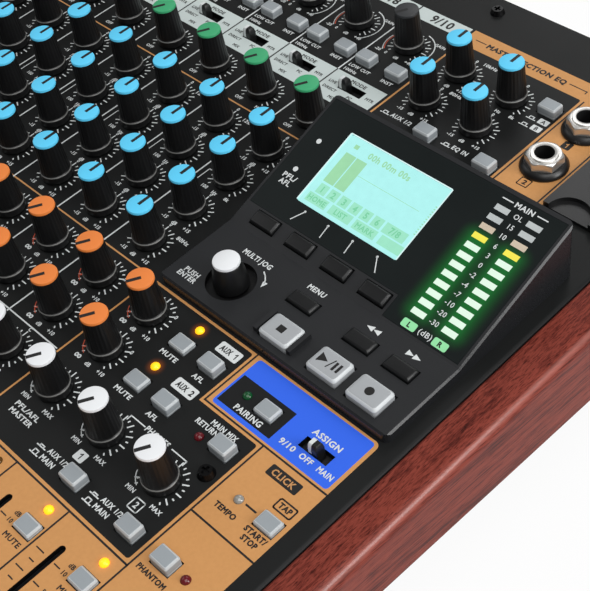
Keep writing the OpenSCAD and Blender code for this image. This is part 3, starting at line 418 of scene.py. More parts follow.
def figure_one(x, y, height):
    """The figure 1 as two strokes, a stem and a flag."""
    flag = (x - 0.28 * height, y + 0.72 * height)
    return stroke([flag, (x, y + 0.92 * height), (x, y + 0.08 * height)], 0.17 * height)


def spanning(text, x0, x1, y, height, weight=0.03):
    """A line of letters drawn out to reach from x0 to x1."""
    return words(text, (x0 + x1) / 2, y, height, x1 - x0, weight)


bold, line_width = 0.046, 0.4
strip_pitch, master_pitch = 25.4, 24.9
strip_x = -152.1 + strip_pitch * (np.arange(8) + 0.5)
master_x = 51.1 + master_pitch * (np.arange(4) + 0.5)
fader_low, fader_high = 36.4, 96.4
mute_row, solo_row, rec_row = fader_high, fader_high - 20, fader_high - 40
pan_row, aux_2_row, aux_1_row = 130.7, 150.7, 168.75
low_row, mid_gain_row, mid_freq_row, high_row = 189.45, 207.5, 225.55, 243.6
comp_row, mode_row, gain_row = 265.0, 285.4, 316.2
eq_columns, eq_rows = (63.85, 86.95), (296.1, 315.2)
white_ink, black_ink, copper_ink, copper_words, orange_ink = [], [], [], [], []
infinity = "∞"


def dial(x, y, low, high, middle="", top="", stop_ink=None):
    """A dial's scale: a tick every 15 degrees from -135 to 135, every other one long, and its values."""
    turn = np.radians(np.arange(-135, 136, 15))
    long = np.arange(len(turn)) % 2 == 1
    way = np.stack([np.sin(turn), np.cos(turn)], 1)
    side = np.stack([-way[:, 1], way[:, 0]], 1) * 0.23
    inner, outer = way * np.where(long, 6.0, 6.8)[:, None], way * np.where(long, 8.2, 7.7)[:, None]
    quads = np.stack([inner - side, inner + side, outer + side, outer - side], 1).reshape(-1, 2) + (x, y)
    white_ink.append(Shape(flat(quads), [(np.arange(len(quads)).reshape(-1, 4), 0)]))
    for text, dx, dy in ((low, -5.1, -8.0), (middle, 0.1, -8.3), (high, 5.9, -8.0), (top, 0.0, 8.5)):
        if text == infinity:
            white_ink.append(words(text, x + dx, y + dy - 0.5, 2.6, 2.7))
        elif text:
            white_ink.append(words(text, x + dx, y + dy, 1.5))
    if stop_ink is not None:
        sweep = np.radians(np.linspace(-105, -140, 6))
        reach = np.linspace(8.5, 7.2, 6)
        stop_ink.append(stroke(np.stack([x + reach * np.sin(sweep), y + reach * np.cos(sweep)], 1), 0.3))
        stop_ink.append(disc(x - 6.2, y - 3.7, 0.4, 8))


def arc(x, y, radius, low, high):
    """Points round a dial, in degrees from its top."""
    sweep = np.radians(np.linspace(low, high, 14))
    return np.stack([x + radius * np.sin(sweep), y + radius * np.cos(sweep)], 1)


def latch_sign(left, y, rise):
    """The sign of a latching button: a base line, with the button standing out of it by the rise."""
    button = [(left + 0.9, y), (left + 0.9, y + rise), (left + 2.6, y + rise), (left + 2.6, y)]
    return joined([stroke([(left, y), (left + 3.5, y)], line_width), stroke(button, line_width)])


levels = ((0.967, "10"), (0.85, "5"), (0.72, "0"), (0.58, "5"), (0.44, "10"), (0.31, "20"), (0.2, "30"),
          (0.1, "40"), (0.0, infinity))


def fader_scale(x, ink, buttons):
    """Ticks on both sides of a fader's slot with their values, and the names of the buttons beside it."""
    ink.append(words("dB", x + 2.2, fader_high, 1.5))
    for part, level in levels:
        y = fader_low + part * (fader_high - fader_low)
        ink.append(bar(x - 10.4, y - 0.2, x - 7.0, y + 0.2))
        ink.append(bar(x - 9.1, y - 3.7, x - 7.0, y - 3.3))
        ink.append(bar(x - 2.4, y - 0.2, x + 0.2, y + 0.2))
        ink.append(words(level, x + 2.2, y - 0.75, 1.5))
    for row, name in buttons:
        ink.append(words(name, x + 7.6, row - 6.3, 1.8, 1.75 * len(name)))


for k, x in enumerate(strip_x):
    name = "1 2 3 4 5 6 7/8 9/10".split()[k]
    dial(x, pan_row, "L", "R", "", "C")
    for row in (aux_2_row, aux_1_row):
        dial(x, row, infinity, "+10", "dB", "", orange_ink)
        white_ink.append(words("0", x + 7.2, row + 3.4, 1.5))
    for row, low, high, unit, top in (
        (low_row, "-15", "+15", "dB", "0"), (mid_gain_row, "-15", "+15", "dB", "0"),
        (mid_freq_row, "100", "8k", "Hz", "1k"), (high_row, "-15", "+15", "dB", "0"),
        (comp_row, "OFF", "MAX", "", ""),
    ):
        dial(x, row, low, high, unit, top)
    bracket = [(x - 9.1, 209), (x - 10.2, 209), (x - 10.2, 225.2), (x - 9.1, 225.2)]
    white_ink.append(stroke(bracket, line_width))
    dial(x, gain_row, "0", "+40", "dB")
    for ink, text, dx, y, height, width in (
        (white_ink, "80Hz", 8.9, low_row + 5.8, 1.6, 5.6),
        (white_ink, "12kHz", 8.9, high_row + 5.8, 1.6, 6.4),
        (black_ink, "MODE", 0, mode_row + 2.9, 1.7, 7.2), (black_ink, "LIVE", -9.0, mode_row - 1.1, 1.4, 0),
        (black_ink, "MTR", 9.1, mode_row - 1.1, 1.4, 0), (black_ink, "DIRECT", -7.4, mode_row - 4.6, 1.4, 0),
        (black_ink, "PC", 2.3, mode_row - 4.6, 1.4, 0), (black_ink, "MIX", -3.0, mode_row - 8.1, 1.4, 0),
        (black_ink, name, 0, 332.7, 4.2, 0), (white_ink, "LOW CUT", -6.2, 295.2, 1.6, 10.0),
        (white_ink, "100Hz", -8.2, 292.5, 1.5, 5.9), (white_ink, "INST", 7.2, 295.2, 1.6, 5.2),
        (white_ink, "-20", -9.0, gain_row - 8.0, 1.5, 0), (white_ink, "GAIN", 9.1, gain_row + 6.2, 1.5, 0),
        (white_ink, name, 0, 21.0, 3.4, 0),
    ):
        ink.append(words(text, x + dx, y, height, width))
    white_ink.append(stroke(arc(x, gain_row, 9.5, 10, 140), 0.45))
    white_ink.append(stroke(arc(x, gain_row, 9.9, -130, -80), line_width))
    orange_ink.append(stroke(arc(x, gain_row, 9.3, -128, -70), 0.45))
    fader_scale(x, white_ink, ((mute_row, "MUTE"), (solo_row, "SOLO"), (rec_row, "REC")))
    if k:
        heights = (12, *mode_field, *name_field)
        for n, ink in enumerate((white_ink, black_ink, white_ink, black_ink)):
            ink.append(bar(x - 13.0, heights[n], x - 12.4, heights[n + 1]))
white_ink.append(bar(work_left, 140.45, 51.2, 140.95))
for y in (178.9, 254.5):
    copper_ink.append(bar(work_left, y, 51.2, y + 0.6))

for row, plate_low in ((aux_1_row, 172.1), (aux_2_row, 154.3)):
    dial(master_x[0], row, infinity, "+10", "dB", "", orange_ink)
    white_ink.append(words("0", master_x[0] + 7.2, row + 3.4, 1.5))
    white_ink.append(plate(89.25, plate_low, 98.4, plate_low + 4.15, 0.7))
    black_ink.append(spanning("AUX", 90.3, 94.9, plate_low + 1.0, 2.15, bold))
    if row == aux_1_row:
        black_ink.append(figure_one(96.9, plate_low + 1.0, 2.15))
    else:
        black_ink.append(words("2", 96.8, plate_low + 1.0, 2.15, weight=bold))
    white_ink.append(spanning("MUTE", 76.75, 84.1, row - 8.15, 1.8))
    white_ink.append(spanning("AFL", 91.6, 96.1, row - 8.15, 1.8))
for m in range(3):
    dial(master_x[m], pan_row, "MIN", "MAX", "", "", white_ink)
white_ink.append(plate(86.9, 118.9, 90.9, 122.5, 0.5))
black_ink.append(figure_one(89.1, 119.6, 2.2))
white_ink.append(stroke(rounded(111.9, 119.0, 115.7, 122.8, 0.5), line_width, True))
white_ink.append(words("2", 113.8, 119.85, 2.1))
for left in (75.6, 100.5):
    for y, rise in ((115.1, 0.7), (112.2, 1.5)):
        white_ink.append(latch_sign(left, y, rise))
for text, x0, x1, y, height in (
    ("PFL/AFL", 58.3, 69.4, 119.2, 1.8), ("MASTER", 58.7, 69.2, 116.6, 1.8),
    ("AUX 1/2", 80.0, 88.6, 115.1, 1.8), ("AUX 1/2", 104.9, 113.5, 115.1, 1.8),
    ("MAIN", 79.9, 85.8, 112.2, 1.9), ("MAIN", 104.8, 110.7, 112.2, 1.9), ("PHONES", 95.9, 105.9, 138.7, 2.0),
    ("MAIN MIX", 109.0, 119.4, 152.8, 1.9), ("RETURN", 104.9, 113.8, 150.4, 1.9),
    ("PAIRING", 109.9, 120.9, 160.8, 2.1), ("ASSIGN", 133.5, 144.25, 169.5, 2.1),
    ("9/10", 128.3, 134.2, 161.2, 2.0), ("OFF", 136.3, 141.1, 161.2, 2.0), ("MAIN", 143.3, 148.9, 161.2, 2.0),
    ("AUX 1/2", 58.75, 67.9, 283.3, 2.0), ("EQ IN", 86.7, 93.2, 283.3, 2.0),
    ("10kHz", 67.0, 73.0, 324.0, 1.6), ("80Hz", 67.4, 72.8, 304.7, 1.6),
):
    white_ink.append(spanning(text, x0, x1, y, height))
for text, x0, x1, y, height in (
    ("TAP", 143.6, 148.2, 146.25, 1.9), ("TEMPO", 129.75, 137.8, 135.1, 1.9),
    ("START/", 141.6, 149.75, 135.3, 1.9), ("STOP", 142.9, 148.6, 132.75, 1.9),
    ("PHANTOM", 128.3, 139.2, 108.6, 1.8), ("2", 115.6, 117.1, 284.5, 2.1),
    ("MASTER SECTION EQ", 61.1, 96.4, 332.4, 2.5), ("FX", 61.0, 66.0, 20.0, 3.2),
    ("SUB", 85.0, 92.0, 20.0, 3.2), ("MAIN", 109.0, 118.5, 20.0, 3.2),
):
    black_ink.append(spanning(text, x0, x1, y, height, bold))
black_ink.append(plate(133.0, 151.6, 144.7, 155.4, 0.5))
copper_words.append(spanning("CLICK", 134.4, 143.0, 152.4, 2.2))
black_ink.append(plate(114.6, 305.9, 118.1, 309.7, 0.4))
copper_words.append(figure_one(116.5, 306.7, 2.2))
black_ink.append(stroke(rounded(142.7, 145.4, 149.1, 148.9, 0.6), 0.5, True))
black_ink.append(stroke(rounded(114.3, 283.7, 118.2, 287.3, 0.4), line_width, True))
black_ink.append(bar(136.6, 140.8, 140.8, 141.4))
for ink, points in (
    (white_ink, [(89.1, 138.0), (89.1, 139.6), (95.3, 139.6)]),
    (white_ink, [(107.4, 139.6), (113.8, 139.6), (113.8, 138.0)]),
    (black_ink, [(55.4, 334.0), (60.0, 334.0)]),
    (black_ink, [(97.7, 334.0), (105.0, 334.0), (105.0, 332.8)]),
):
    ink.append(stroke(points, line_width))
for x0, y0, x1, y1 in (
    (master_left, 107.0, 126.7, 107.6), (126.1, 9, 126.7, 157.3), (101.0, 157.3, work_right, 157.9),
    (101.0, 157.3, 101.6, 179.2), (126.7, 129.8, work_right, 130.4), (107.0, 262, 107.6, 329.2),
    (125.1, 262, 125.7, 338.4),
):
    black_ink.append(bar(x0, y0, x1, y1))
for m, x in enumerate(master_x[:3]):
    fader_scale(x, black_ink, ((mute_row, "MUTE"), (solo_row, "AFL")))
    if m:
        black_ink.append(bar(x - 12.5, 12, x - 11.9, 107.0))
for x in eq_columns:
    for row in eq_rows:
        swept = (x, row) == (eq_columns[1], eq_rows[1])
        low, high, unit = ("100", "8k", "Hz") if swept else ("-15", "+15", "dB")
        dial(x, row, low, high, unit, "0")
for left, y in ((54.5, 283.4), (82.4, 283.4), (96.5, 311.4), (96.5, 307.4)):
    white_ink.append(latch_sign(left, y, 1.3))
for letter, y in (("A", 311.1), ("B", 307.1)):
    white_ink.append(plate(101.0, y, 105.0, y + 2.7, 0.4))
    black_ink.append(words(letter, 103.0, y + 0.4, 1.9))


def ink_finish(name, colour):
    """Screen ink: a thin even film, slightly worn where a coarse noise is low."""
    material, place = new_finish(name)
    wear = noise(place, 300.0, 3.0)
    return shade(material, {
        "Base Color": mixed(wear, toned(colour, 0.85), screen_colour(*colour)),
        "Roughness": 0.45 + 0.1 * wear,
    })


ink_white = ink_finish("ink_white", (216, 220, 220))
ink_black = ink_finish("ink_black", (14, 12, 11))
ink_copper = ink_finish("ink_copper", (196, 141, 86))
for name, shapes, material, film in (
    ("legend_copper", copper_ink, ink_copper, 0.03), ("legend_white", white_ink, ink_white, 0.04),
    ("legend_orange", orange_ink, ink_finish("ink_orange", (206, 84, 52)), 0.05),
    ("legend_black", black_ink, ink_black, 0.05), ("legend_copper_words", copper_words, ink_copper, 0.07),
):
    piece(name, joined(shapes).at([[0, 0, film]]).moved(on_panel), [material], slot="black_steel")


def on_rear(points):
    """Millimetres across the rear wall as seen from behind, up it and off it, as metres in the object."""
    x, y, z = np.moveaxis(np.asarray(points, float), -1, 0)
    return np.stack([-x, rear_y + z, y], -1) / 1000


rear_left, rear_y = -156.2, 176.511
print_lift = [[0, 0, 0.04]]
rear_print = [words(f"MIC {k + 1}", -(rear_left + 22 + 28 * k), 69.5, 2.8) for k in range(6)]
rear_print += [words(f"LINE {k + 1}", -(rear_left + 18 + 18 * k), 33.4, 2.2) for k in range(10)]
rear_print += [words("L", -44.4, 69.5, 2.8), words("R", -74.4, 69.5, 2.8)]
rear_print.append(words("MAIN OUT", -59.4, 75.5, 2.8))
rear_print += [words("DC IN", rear_left + 55, 33.4, 2.2), words("POWER", rear_left + 26, 42.0, 2.4)]
piece("rear_labels", joined(rear_print).at(print_lift).moved(on_rear), [ink_white], slot="black_steel")


# Cheeks: a solid mahogany board screwed to each side, deeper at the rear, with a rounded top edge.
# Stained red brown along straight grain, then lacquered to a soft gloss.
def loft(rings, bands=0, cap=None, foot=None):
    """A skin over rings of equally many points: band i gets finish bands[i], and the ends close flat."""
    rings = np.asarray(rings, float)
    rows, count = rings.shape[:2]
    index = np.arange(rows * count).reshape(rows, count)
    ahead = np.roll(index, -1, 1)
    quads = np.stack([index[:-1], ahead[:-1], ahead[1:], index[1:]], -1)
    bands = np.broadcast_to(bands, rows - 1)
    groups = [(quads[bands == finish].reshape(-1, 4), finish) for finish in sorted(set(bands.tolist()))]
    if cap is not None:
        groups.append((index[-1:], cap))
    if foot is not None:
        groups.append((index[:1, ::-1], foot))
    return Shape(rings, groups)


cheek_in, cheek_out = 158.55, 171.55
cheek_length, cheek_round = 359.2, 4


def cheek_shape():
    """Sections square to the panel, from tail to nose: a rounded top and a foot that rises to the nose.
    The tail leans by z * tan(tilt), so that its end stands upright."""
    turn = np.linspace(0, np.pi / 2, 9)
    stations = np.array([cheek_length, 330, 270, 210, 150, 90, 30, 6.5, 5, 2.5, 0.8, 0])
    top = np.interp(stations, [0, 2.5, 5], [-2.5, -1.0, 0.0])[:, None]
    foot = np.interp(stations, [0, 5, cheek_length], [-7, -12, -44])[:, None]
    edge = np.interp(stations, [0, 5], [0.5, 1.0])[:, None]
    round_x = cheek_out - cheek_round + cheek_round * np.cos(turn)
    round_z = -cheek_round + cheek_round * np.sin(turn)
    upper_x = np.concatenate([[cheek_out], round_x, [cheek_out - 4.8, cheek_in + 0.6, cheek_in]])
    upper_z = np.concatenate([[-5.2], round_z, [0, 0, -0.6]])
    lower_x = np.array([cheek_in, cheek_in + 0.6, cheek_out - 0.8, cheek_out])
    lower_z = np.array([0.6, 0, 0, 0.8])
    z = np.concatenate([top + edge * upper_z, foot + edge * lower_z], 1)
    lean = np.where(stations == cheek_length, math.tan(tilt), 0.0)[:, None]
    x = np.broadcast_to(np.concatenate([upper_x, lower_x]), z.shape)
    return loft(np.stack([x, stations[:, None] + z * lean, z], -1), cap=0, foot=0)


def mahogany_finish():
    """Grain along the board: noise drawn out along its length, dark pores and a slow figure. The crest of the
    rounded edge, where |across| + off is greatest, has a painted highlight: its colour is painted paler, and
    its coat is glossier."""
    material, place = new_finish("lacquered_mahogany")
    drawn = place.node("ShaderNodeMapping", {
        "Vector": place, "Scale": (1.0, 0.04, 1.0), "Rotation": (-tilt, 0, 0),
    })
    figure = noise(drawn, 260.0, 5.0, Roughness=0.6)
    streak = noise(drawn, 1700.0, 4.0, Roughness=0.7)
    pore = noise(drawn, 3600.0, 2.0)
    tone = place.node("ShaderNodeValToRGB", {"Fac": figure * 0.45 + streak * 0.55}, {"stops": [
        (0.36, screen_colour(52, 17, 14)), (0.46, screen_colour(104, 43, 34)),
        (0.56, screen_colour(132, 60, 48)), (0.68, screen_colour(88, 34, 27)),
    ]})
    open_pore = place.node("ShaderNodeValToRGB", {"Fac": pore}, {"stops": [
        (0.34, (0.35, 0.28, 0.28, 1)), (0.48, (1, 1, 1, 1)),
    ]})
    colour = place.node("ShaderNodeMix", {0: 0.85, 6: tone, 7: open_pore},
                        {"data_type": "RGBA", "blend_type": "MULTIPLY"}, 2)
    across, _, off = slope_axes(place, tilt, (0, front_y, front_h))
    crest = place.math("ABSOLUTE", across) + off - (cheek_out - 2.7)
    crest_highlight = place.math("MAXIMUM", crest * 2.8, 0.0)
    # painted highlight: the colour of a highlight painted along the crest of the rounded edge
    colour = mixed(0.4 * crest_highlight, colour, screen_colour(190, 118, 106))
    return shade(material, {
        "Base Color": colour,
        "Roughness": 0.4 + 0.14 * streak,
        "Normal": bumped(streak * 0.6 + pore * 0.4, 0.25, 0.0001),
        "Specular IOR Level": 0.08,
        "Coat Weight": 0.1 + 0.36 * crest_highlight,
        "Coat Roughness": 0.2,
    })


mahogany = mahogany_finish()
right_board = cheek_shape()
left_board = Shape(right_board.points * (-1, 1, 1), [(faces[:, ::-1], n) for faces, n in right_board.groups])
for name, board in (("left_cheek", left_board), ("right_cheek", right_board)):
    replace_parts(piece(name + "_board", board.moved(on_panel), [mahogany], slot="mahogany"), name)


# Faders: eleven slide controls with 60 mm of travel, each cap on a steel lever that runs in its slot.
# Black caps with a hollow for the fingertip and a white line across it.
def block(x0, y0, z0, x1, y1, z1, finish=0):
    """A plain box."""
    base = np.array([[x0, y0], [x1, y0], [x1, y1], [x0, y1]])
    return loft([flat(base, z) for z in (z0, z1)], finish, finish, finish)


def with_finish(shape, finish):
    """The shape with one finish all over."""
    return Shape(shape.points, [(faces, finish) for faces, _ in shape.groups])


def fader_shape():
    """The cap is a side profile carried across x and drawn in at both ends; its top is hollowed to
    z = 30.8 - sqrt(19.2 ** 2 - y ** 2) where that is lower than 13."""
    y = np.linspace(10.4, -10.4, 27)
    hollow = np.minimum(13, 30.8 - np.sqrt(19.2 ** 2 - y ** 2))
    hollow = hollow + 0.12 * np.cos(y * 2 * np.pi / 1.6) * (np.abs(y) > 2.4) * (np.abs(y) < 9.2)
    profile_y = np.concatenate([[-11.9, 11.9, 12.0, 10.7], y, [-10.7, -12.0]])
    profile_z = np.concatenate([[2.0, 2.0, 2.3, 12.6], hollow, [12.6, 2.3]])
    stations = np.array([-5.5, -5.3, -4.9, 4.9, 5.3, 5.5])
    draw = np.array([0.5, 0.15, 0, 0, 0.15, 0.5])[:, None]
    rings = np.stack([np.broadcast_to(stations[:, None], (6, len(profile_y))), profile_y * (1 - draw / 12),
                      7.5 + (profile_z - 7.5) * (1 - draw / 6)], -1)
    mark = with_finish(bar(-5.0, -0.45, 5.0, 0.45), 1).at([[0, 0, 11.66]])
    lever, carriage = block(-0.7, -2, -4.5, 0.7, 2, 2.1, 2), block(-3, -4, -10.2, 3, 4, -4.3, 2)
    return joined([loft(rings, 0, 0, 0), mark, lever, carriage])


fader_black = grained("fader_black", (17, 17, 18), 0.36, 1800.0, 0.00002)
steel = grained("bright_steel", (176, 178, 182), 0.3, 700.0, 0.00001, 0.08, Metallic=1.0)
fader_names = [f"fader_{name}" for name in "1 2 3 4 5 6 7_8 9_10 fx sub main".split()]
fader_columns = np.concatenate([strip_x, master_x[:3]])
slot_dx = -4.3
for name, x in zip(fader_names, fader_columns):
    cap = piece(name + "_cap", fader_shape().at([[x + slot_dx, fader_low, 0]]).moved(on_panel),
                [fader_black, ink_white, steel], name, slot="fader_black")
    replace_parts(cap, name)


# Knobs: one tapered and fluted form for every pot, above a smooth skirt with a painted highlight on its
# shoulder.
# Black, with a coloured cap for each job and a dark pointer from the middle of the cap to its rim.
def lathe(profile, steps, bands=0, cap=None, foot=None, flutes=0):
    """Turns rows of (z, radius, flute depth): radius - depth * cos(flutes * angle / 2) ** 4."""
    z, radius, depth = np.asarray(profile, float).T
    angle = np.linspace(0, 2 * np.pi, steps, endpoint=False)
    r = radius[:, None] - depth[:, None] * np.cos(flutes * angle / 2) ** 4
    rings = np.stack([r * np.cos(angle), r * np.sin(angle), np.broadcast_to(z[:, None], r.shape)], -1)
    return loft(rings, bands, cap, foot)


def turned(shape, degrees):
    """The shape turned about the z axis."""
    c, s = math.cos(math.radians(degrees)), math.sin(math.radians(degrees))
    return shape.moved(lambda p: np.stack([p[:, 0] * c - p[:, 1] * s, p[:, 0] * s + p[:, 1] * c, p[:, 2]], 1))


charcoal_cap, green_cap, blue_cap, orange_cap, white_cap, pointer_finish, shoulder_highlight_paint = range(1, 8)


def knob_shape(cap, turn):
    """Skirt, groove, fluted taper and cap as one turned form, with the shaft below and the pointer on top."""
    rows = [(0.6, 5.2, 0), (0.75, 5.55, 0), (3.2, 5.6, 0), (3.4, 5.5, 0), (3.5, 5.3, 0), (3.8, 5.1, 0),
            (4.1, 5.2, 0.1), (4.6, 5.2, 0.2), (15.2, 4.5, 0.2), (15.75, 4.45, 0), (15.95, 4.42, 0),
            (16.6, 4.4, 0), (16.82, 4.26, 0), (16.9, 4.0, 0)]
    bands = [0] * 2 + [shoulder_highlight_paint] * 2 + [0] * 6 + [cap] * 3
    form = lathe(rows, 96, bands, cap, 0, 24)
    shaft = lathe([(-8, 3, 0), (0.7, 3, 0)], 16, 0, None, 0)
    pointer = with_finish(bar(-0.62, -0.4, 0.62, 4.25), pointer_finish).at([[0, 0, 16.93]])
    return joined([form, shaft, turned(pointer, turn)])


knob_black = grained("knob_black", (13, 13, 14), 0.38)


def cap_finish(name, *colour):
    """A cap's moulded colour, even and satin."""
    return grained(name, colour, 0.42, 1500.0, 0.00001, 0.04)


knob_finishes = [
    knob_black, cap_finish("cap_charcoal", 44, 46, 48), cap_finish("cap_green", 56, 160, 108),
    cap_finish("cap_blue", 90, 202, 242), cap_finish("cap_orange", 226, 127, 57),
    cap_finish("cap_white", 226, 228, 230),
    grained("pointer_black", (14, 14, 15), 0.5),
    # painted highlight: a light grey ring on the shoulder stands for the bright arc that light makes there
    grained("knob_shoulder_painted_highlight", (104, 104, 102), 0.3),
]
low_stop = 150
knob_rows = {
    "pan": (pan_row, white_cap, low_stop), "aux_2": (aux_2_row, orange_cap, low_stop),
    "aux_1": (aux_1_row, orange_cap, low_stop), "low": (low_row, blue_cap, 0),
    "mid_gain": (mid_gain_row, blue_cap, 0), "mid_freq": (mid_freq_row, blue_cap, 0),
    "high": (high_row, blue_cap, 0), "comp": (comp_row, green_cap, low_stop),
    "gain": (gain_row, charcoal_cap, low_stop),
}
whole_rows = ("pan", "gain")
banks = []
for name, (row, cap, turn) in knob_rows.items():
    columns = strip_x if name in whole_rows else strip_x[:7]
    banks.append(knob_shape(cap, turn).at([(x, row, 0) for x in columns]))
bank = piece("channel_knob_bank", joined(banks).moved(on_panel), knob_finishes, slot="knob_black")
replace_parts(bank, "channel_knobs")
single_knobs = [(f"{name}_9_10_knob", strip_x[7], *knob_rows[name])
                for name in ("comp", "high", "mid_freq", "mid_gain", "low", "aux_1", "aux_2")]
single_knobs += [(f"{name}_master_knob", master_x[0], *knob_rows[name]) for name in ("aux_1", "aux_2")]
single_knobs += [(f"{name}_knob", x, *knob_rows["pan"])
                 for name, x in zip(("monitor", "phones_1", "phones_2"), master_x)]
single_knobs += [(f"eq_{name}_knob", eq_columns[k % 2], eq_rows[k // 2], blue_cap, 0)
                 for k, name in enumerate(("low", "mid", "freq", "high"))]
for name, x, y, cap, turn in single_knobs:
    knob = piece(name + "_form", knob_shape(cap, turn).at([[x, y, 0]]).moved(on_panel), knob_finishes,
                 name, slot="knob_black")
    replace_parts(knob, name)


# Push buttons: fifty-nine latching keys in square holes, each with a flat crown and rounded corners.
# Pale grey moulded caps with painted highlights in a lighter grey on their edges; six of them are pressed in.
def pillow(width, depth, radius, rows, bands=0):
    """A key with rounded corners: rows of (inset, z) with a finish for each band, the last closed flat."""
    rings = []
    for inset, z in rows:
        half_w, half_d = width / 2 - inset, depth / 2 - inset
        ring = rounded(-half_w, -half_d, half_w, half_d, max(radius - 0.4 * inset, 0.2))
        rings.append(flat(ring, z))
    return loft(rings, bands, 0, 0)


button_dx = 7.85


def button_places():
    """Every button's place on the panel in the order of the groups, the pressed ones last."""
    raised = [(x + button_dx, y) for x in fader_columns for y in (mute_row, solo_row)
              if y < mute_row or x not in master_x[1:]]
    raised += [(x + button_dx, rec_row) for x in strip_x]
    raised += [(x + dx, 300.9) for x in strip_x for dx in (-7, 7.5)]
    raised += [(94.1, 166.9), (94.1, 148.85), (93.95, 114.75), (118.85, 114.75), (101.2, 318.3),
               (101.4, 283.2), (75.4, 283.2), (118.7, 149.15), (133.7, 114.9)]
    pressed = [(x + button_dx, mute_row) for x in master_x[1:3]]
    pressed += [(80.5, 166.9), (80.5, 148.85), (118.8, 166.6), (145.95, 140.85)]
    return flat(raised), flat(pressed)


def button_form(top):
    """A key cap with upright sides, a narrow chamfer and a flat crown."""
    rows = [(0, -4.7), (0, 0), (0, 0.5), (0, top - 0.75), (0.06, top - 0.6), (0.42, top - 0.1),
            (0.6, top - 0.02), (0.9, top)]
    # painted highlight: bands of finish 1, a lighter grey, at the foot, on the upper sides and on the chamfer
    return pillow(7.2, 5.4, 0.6, rows, [0, 1, 0, 1, 1, 1, 0])


raised, pressed = button_places()
button_finishes = [grained("button_grey", (146, 152, 156), 0.4, 1600.0, 0.00001, 0.06),
                   grained("button_edge_highlight", (184, 189, 191), 0.35, 1600.0, 0.00001, 0.05)]
raised_top, pressed_top = 3.4, 1.6
button_bank = joined([button_form(raised_top).at(raised), button_form(pressed_top).at(pressed)])
buttons = piece("button_bank", button_bank.moved(on_panel), button_finishes, "push_buttons", 25,
                slot="button_grey")
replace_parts(buttons, "push_buttons")


# Lamps: thirty-six small domed lamps beside the buttons, set through the panel.
# Amber, red, green and clear lenses; four of them are lit.
def lamp_places():
    """Places of the lamps, each with the number of its finish."""
    lamp_dy = 7.25
    amber, lit, green, red, clear = range(5)
    lamps = [(x + button_dx, y + lamp_dy, amber) for x in strip_x for y in (mute_row, solo_row)]
    lamps += [(x + button_dx, y + lamp_dy, lit if y == mute_row and x != master_x[0] else amber)
              for x in master_x[:3] for y in (mute_row, solo_row)]
    lamps += [(x + button_dx, rec_row + lamp_dy, red) for x in strip_x]
    lamps += [(80.5, 174.15, lit), (80.5, 156.1, lit), (110.0, 166.6, green), (110.0, 147.65, red),
              (134.05, 140.9, clear), (141.55, 114.9, red)]
    return lamps


lens_rows = [(-4, 1.5, 0), (0.2, 1.5, 0), (0.42, 1.4, 0), (0.75, 1.05, 0), (0.97, 0.65, 0), (1.08, 0.25, 0)]
lens_finishes = [
    grained("lens_amber", (88, 58, 18), 0.15, 900.0, 0.000002),
    grained("lens_lit", (240, 170, 20), 0.3, 900.0, 0.000002, 0.1,
            **{"Emission Color": screen_colour(255, 190, 24), "Emission Strength": 1.0}),
    grained("lens_green", (12, 74, 36), 0.12, 900.0, 0.000002),
    grained("lens_red", (96, 12, 22), 0.12, 900.0, 0.000002),
    grained("lens_clear", (140, 138, 132), 0.06, 900.0, 0.000002, 0.2, **{"Coat Weight": 1.0}),
]
lenses = [lathe(lens_rows, 12, n, n, n).at([[x, y, 0]]) for x, y, n in lamp_places()]
lens_bank = piece("lamp_lenses", joined(lenses).moved(on_panel), lens_finishes, slot="lamp", smooth=60)
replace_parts(lens_bank, "indicator_leds")


# Slide switches: a mode lever in each strip, all in one bank, and the assign lever in the blue field.
# Black levers with a white bar across the top, in plain black slots.
def lever_shape():
    """The lever with a stripe over its top and down both flanks, a strip that follows them 0.03 mm off."""
    y = np.array([-1.74, -1.74, -1.46, -1.0, 1.0, 1.46, 1.74, 1.74])
    z = np.array([0.2, 2.0, 3.44, 4.04, 4.04, 3.44, 2.0, 0.2])
    sides = np.stack([np.stack([0 * y + x, y, z], 1) for x in (-0.1, -1.4)], 1)
    index = np.arange(16).reshape(8, 2)
    quads = np.stack([index[:-1, 0], index[1:, 0], index[1:, 1], index[:-1, 1]], 1)
    grip = pillow(4, 3.4, 0.4, [(0, -2.9), (0, 2.0), (0.3, 3.4), (0.7, 4.0)])
    return joined([grip, Shape(sides, [(quads, 1)])])


lever_form = lever_shape()
lever_finishes = [grained("lever_black", (14, 14, 15), 0.4), ink_white]
lever_dx = -3.2
mode_places = [(x + lever_dx, mode_row, 0) for x in strip_x]
for name, places, node in (
    ("mode_lever_bank", mode_places, "mode_switches"),
    ("assign_lever", [(138.95, 166.05, 0)], "assign_switch"),
):
    levers = piece(name, lever_form.at(places).moved(on_panel), lever_finishes, node, slot="knob_black")
    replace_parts(levers, node)


# Phones sockets: two 6.3 mm sockets held through the panel by a hexagon nut on a black bezel.
# Nickel plated nut and collar; the bore is dark nylon.
def rings_at(rows, angle):
    """A ring of points for each row of (z, radius), at these angles."""
    return [np.stack([r * np.cos(angle), r * np.sin(angle), 0 * angle + z], 1) for z, r in rows]


def nut_shape():
    """A hexagon 11.4 mm across flats with its top corners turned off.
    The radius is the smaller of hexagon and cone."""
    angle = np.linspace(0, 2 * np.pi, 48, endpoint=False)
    side = 5.7 / np.cos((angle + np.pi / 6) % (np.pi / 3) - np.pi / 6)
    rows = [(2.3, 5.6), (2.3, 7.0), (4.7, 7.0), (5.1, 6.3), (5.4, 5.8), (5.5, 5.4), (5.5, 4.72)]
    return loft(rings_at([(z, np.minimum(side, r)) for z, r in rows], angle), 1)


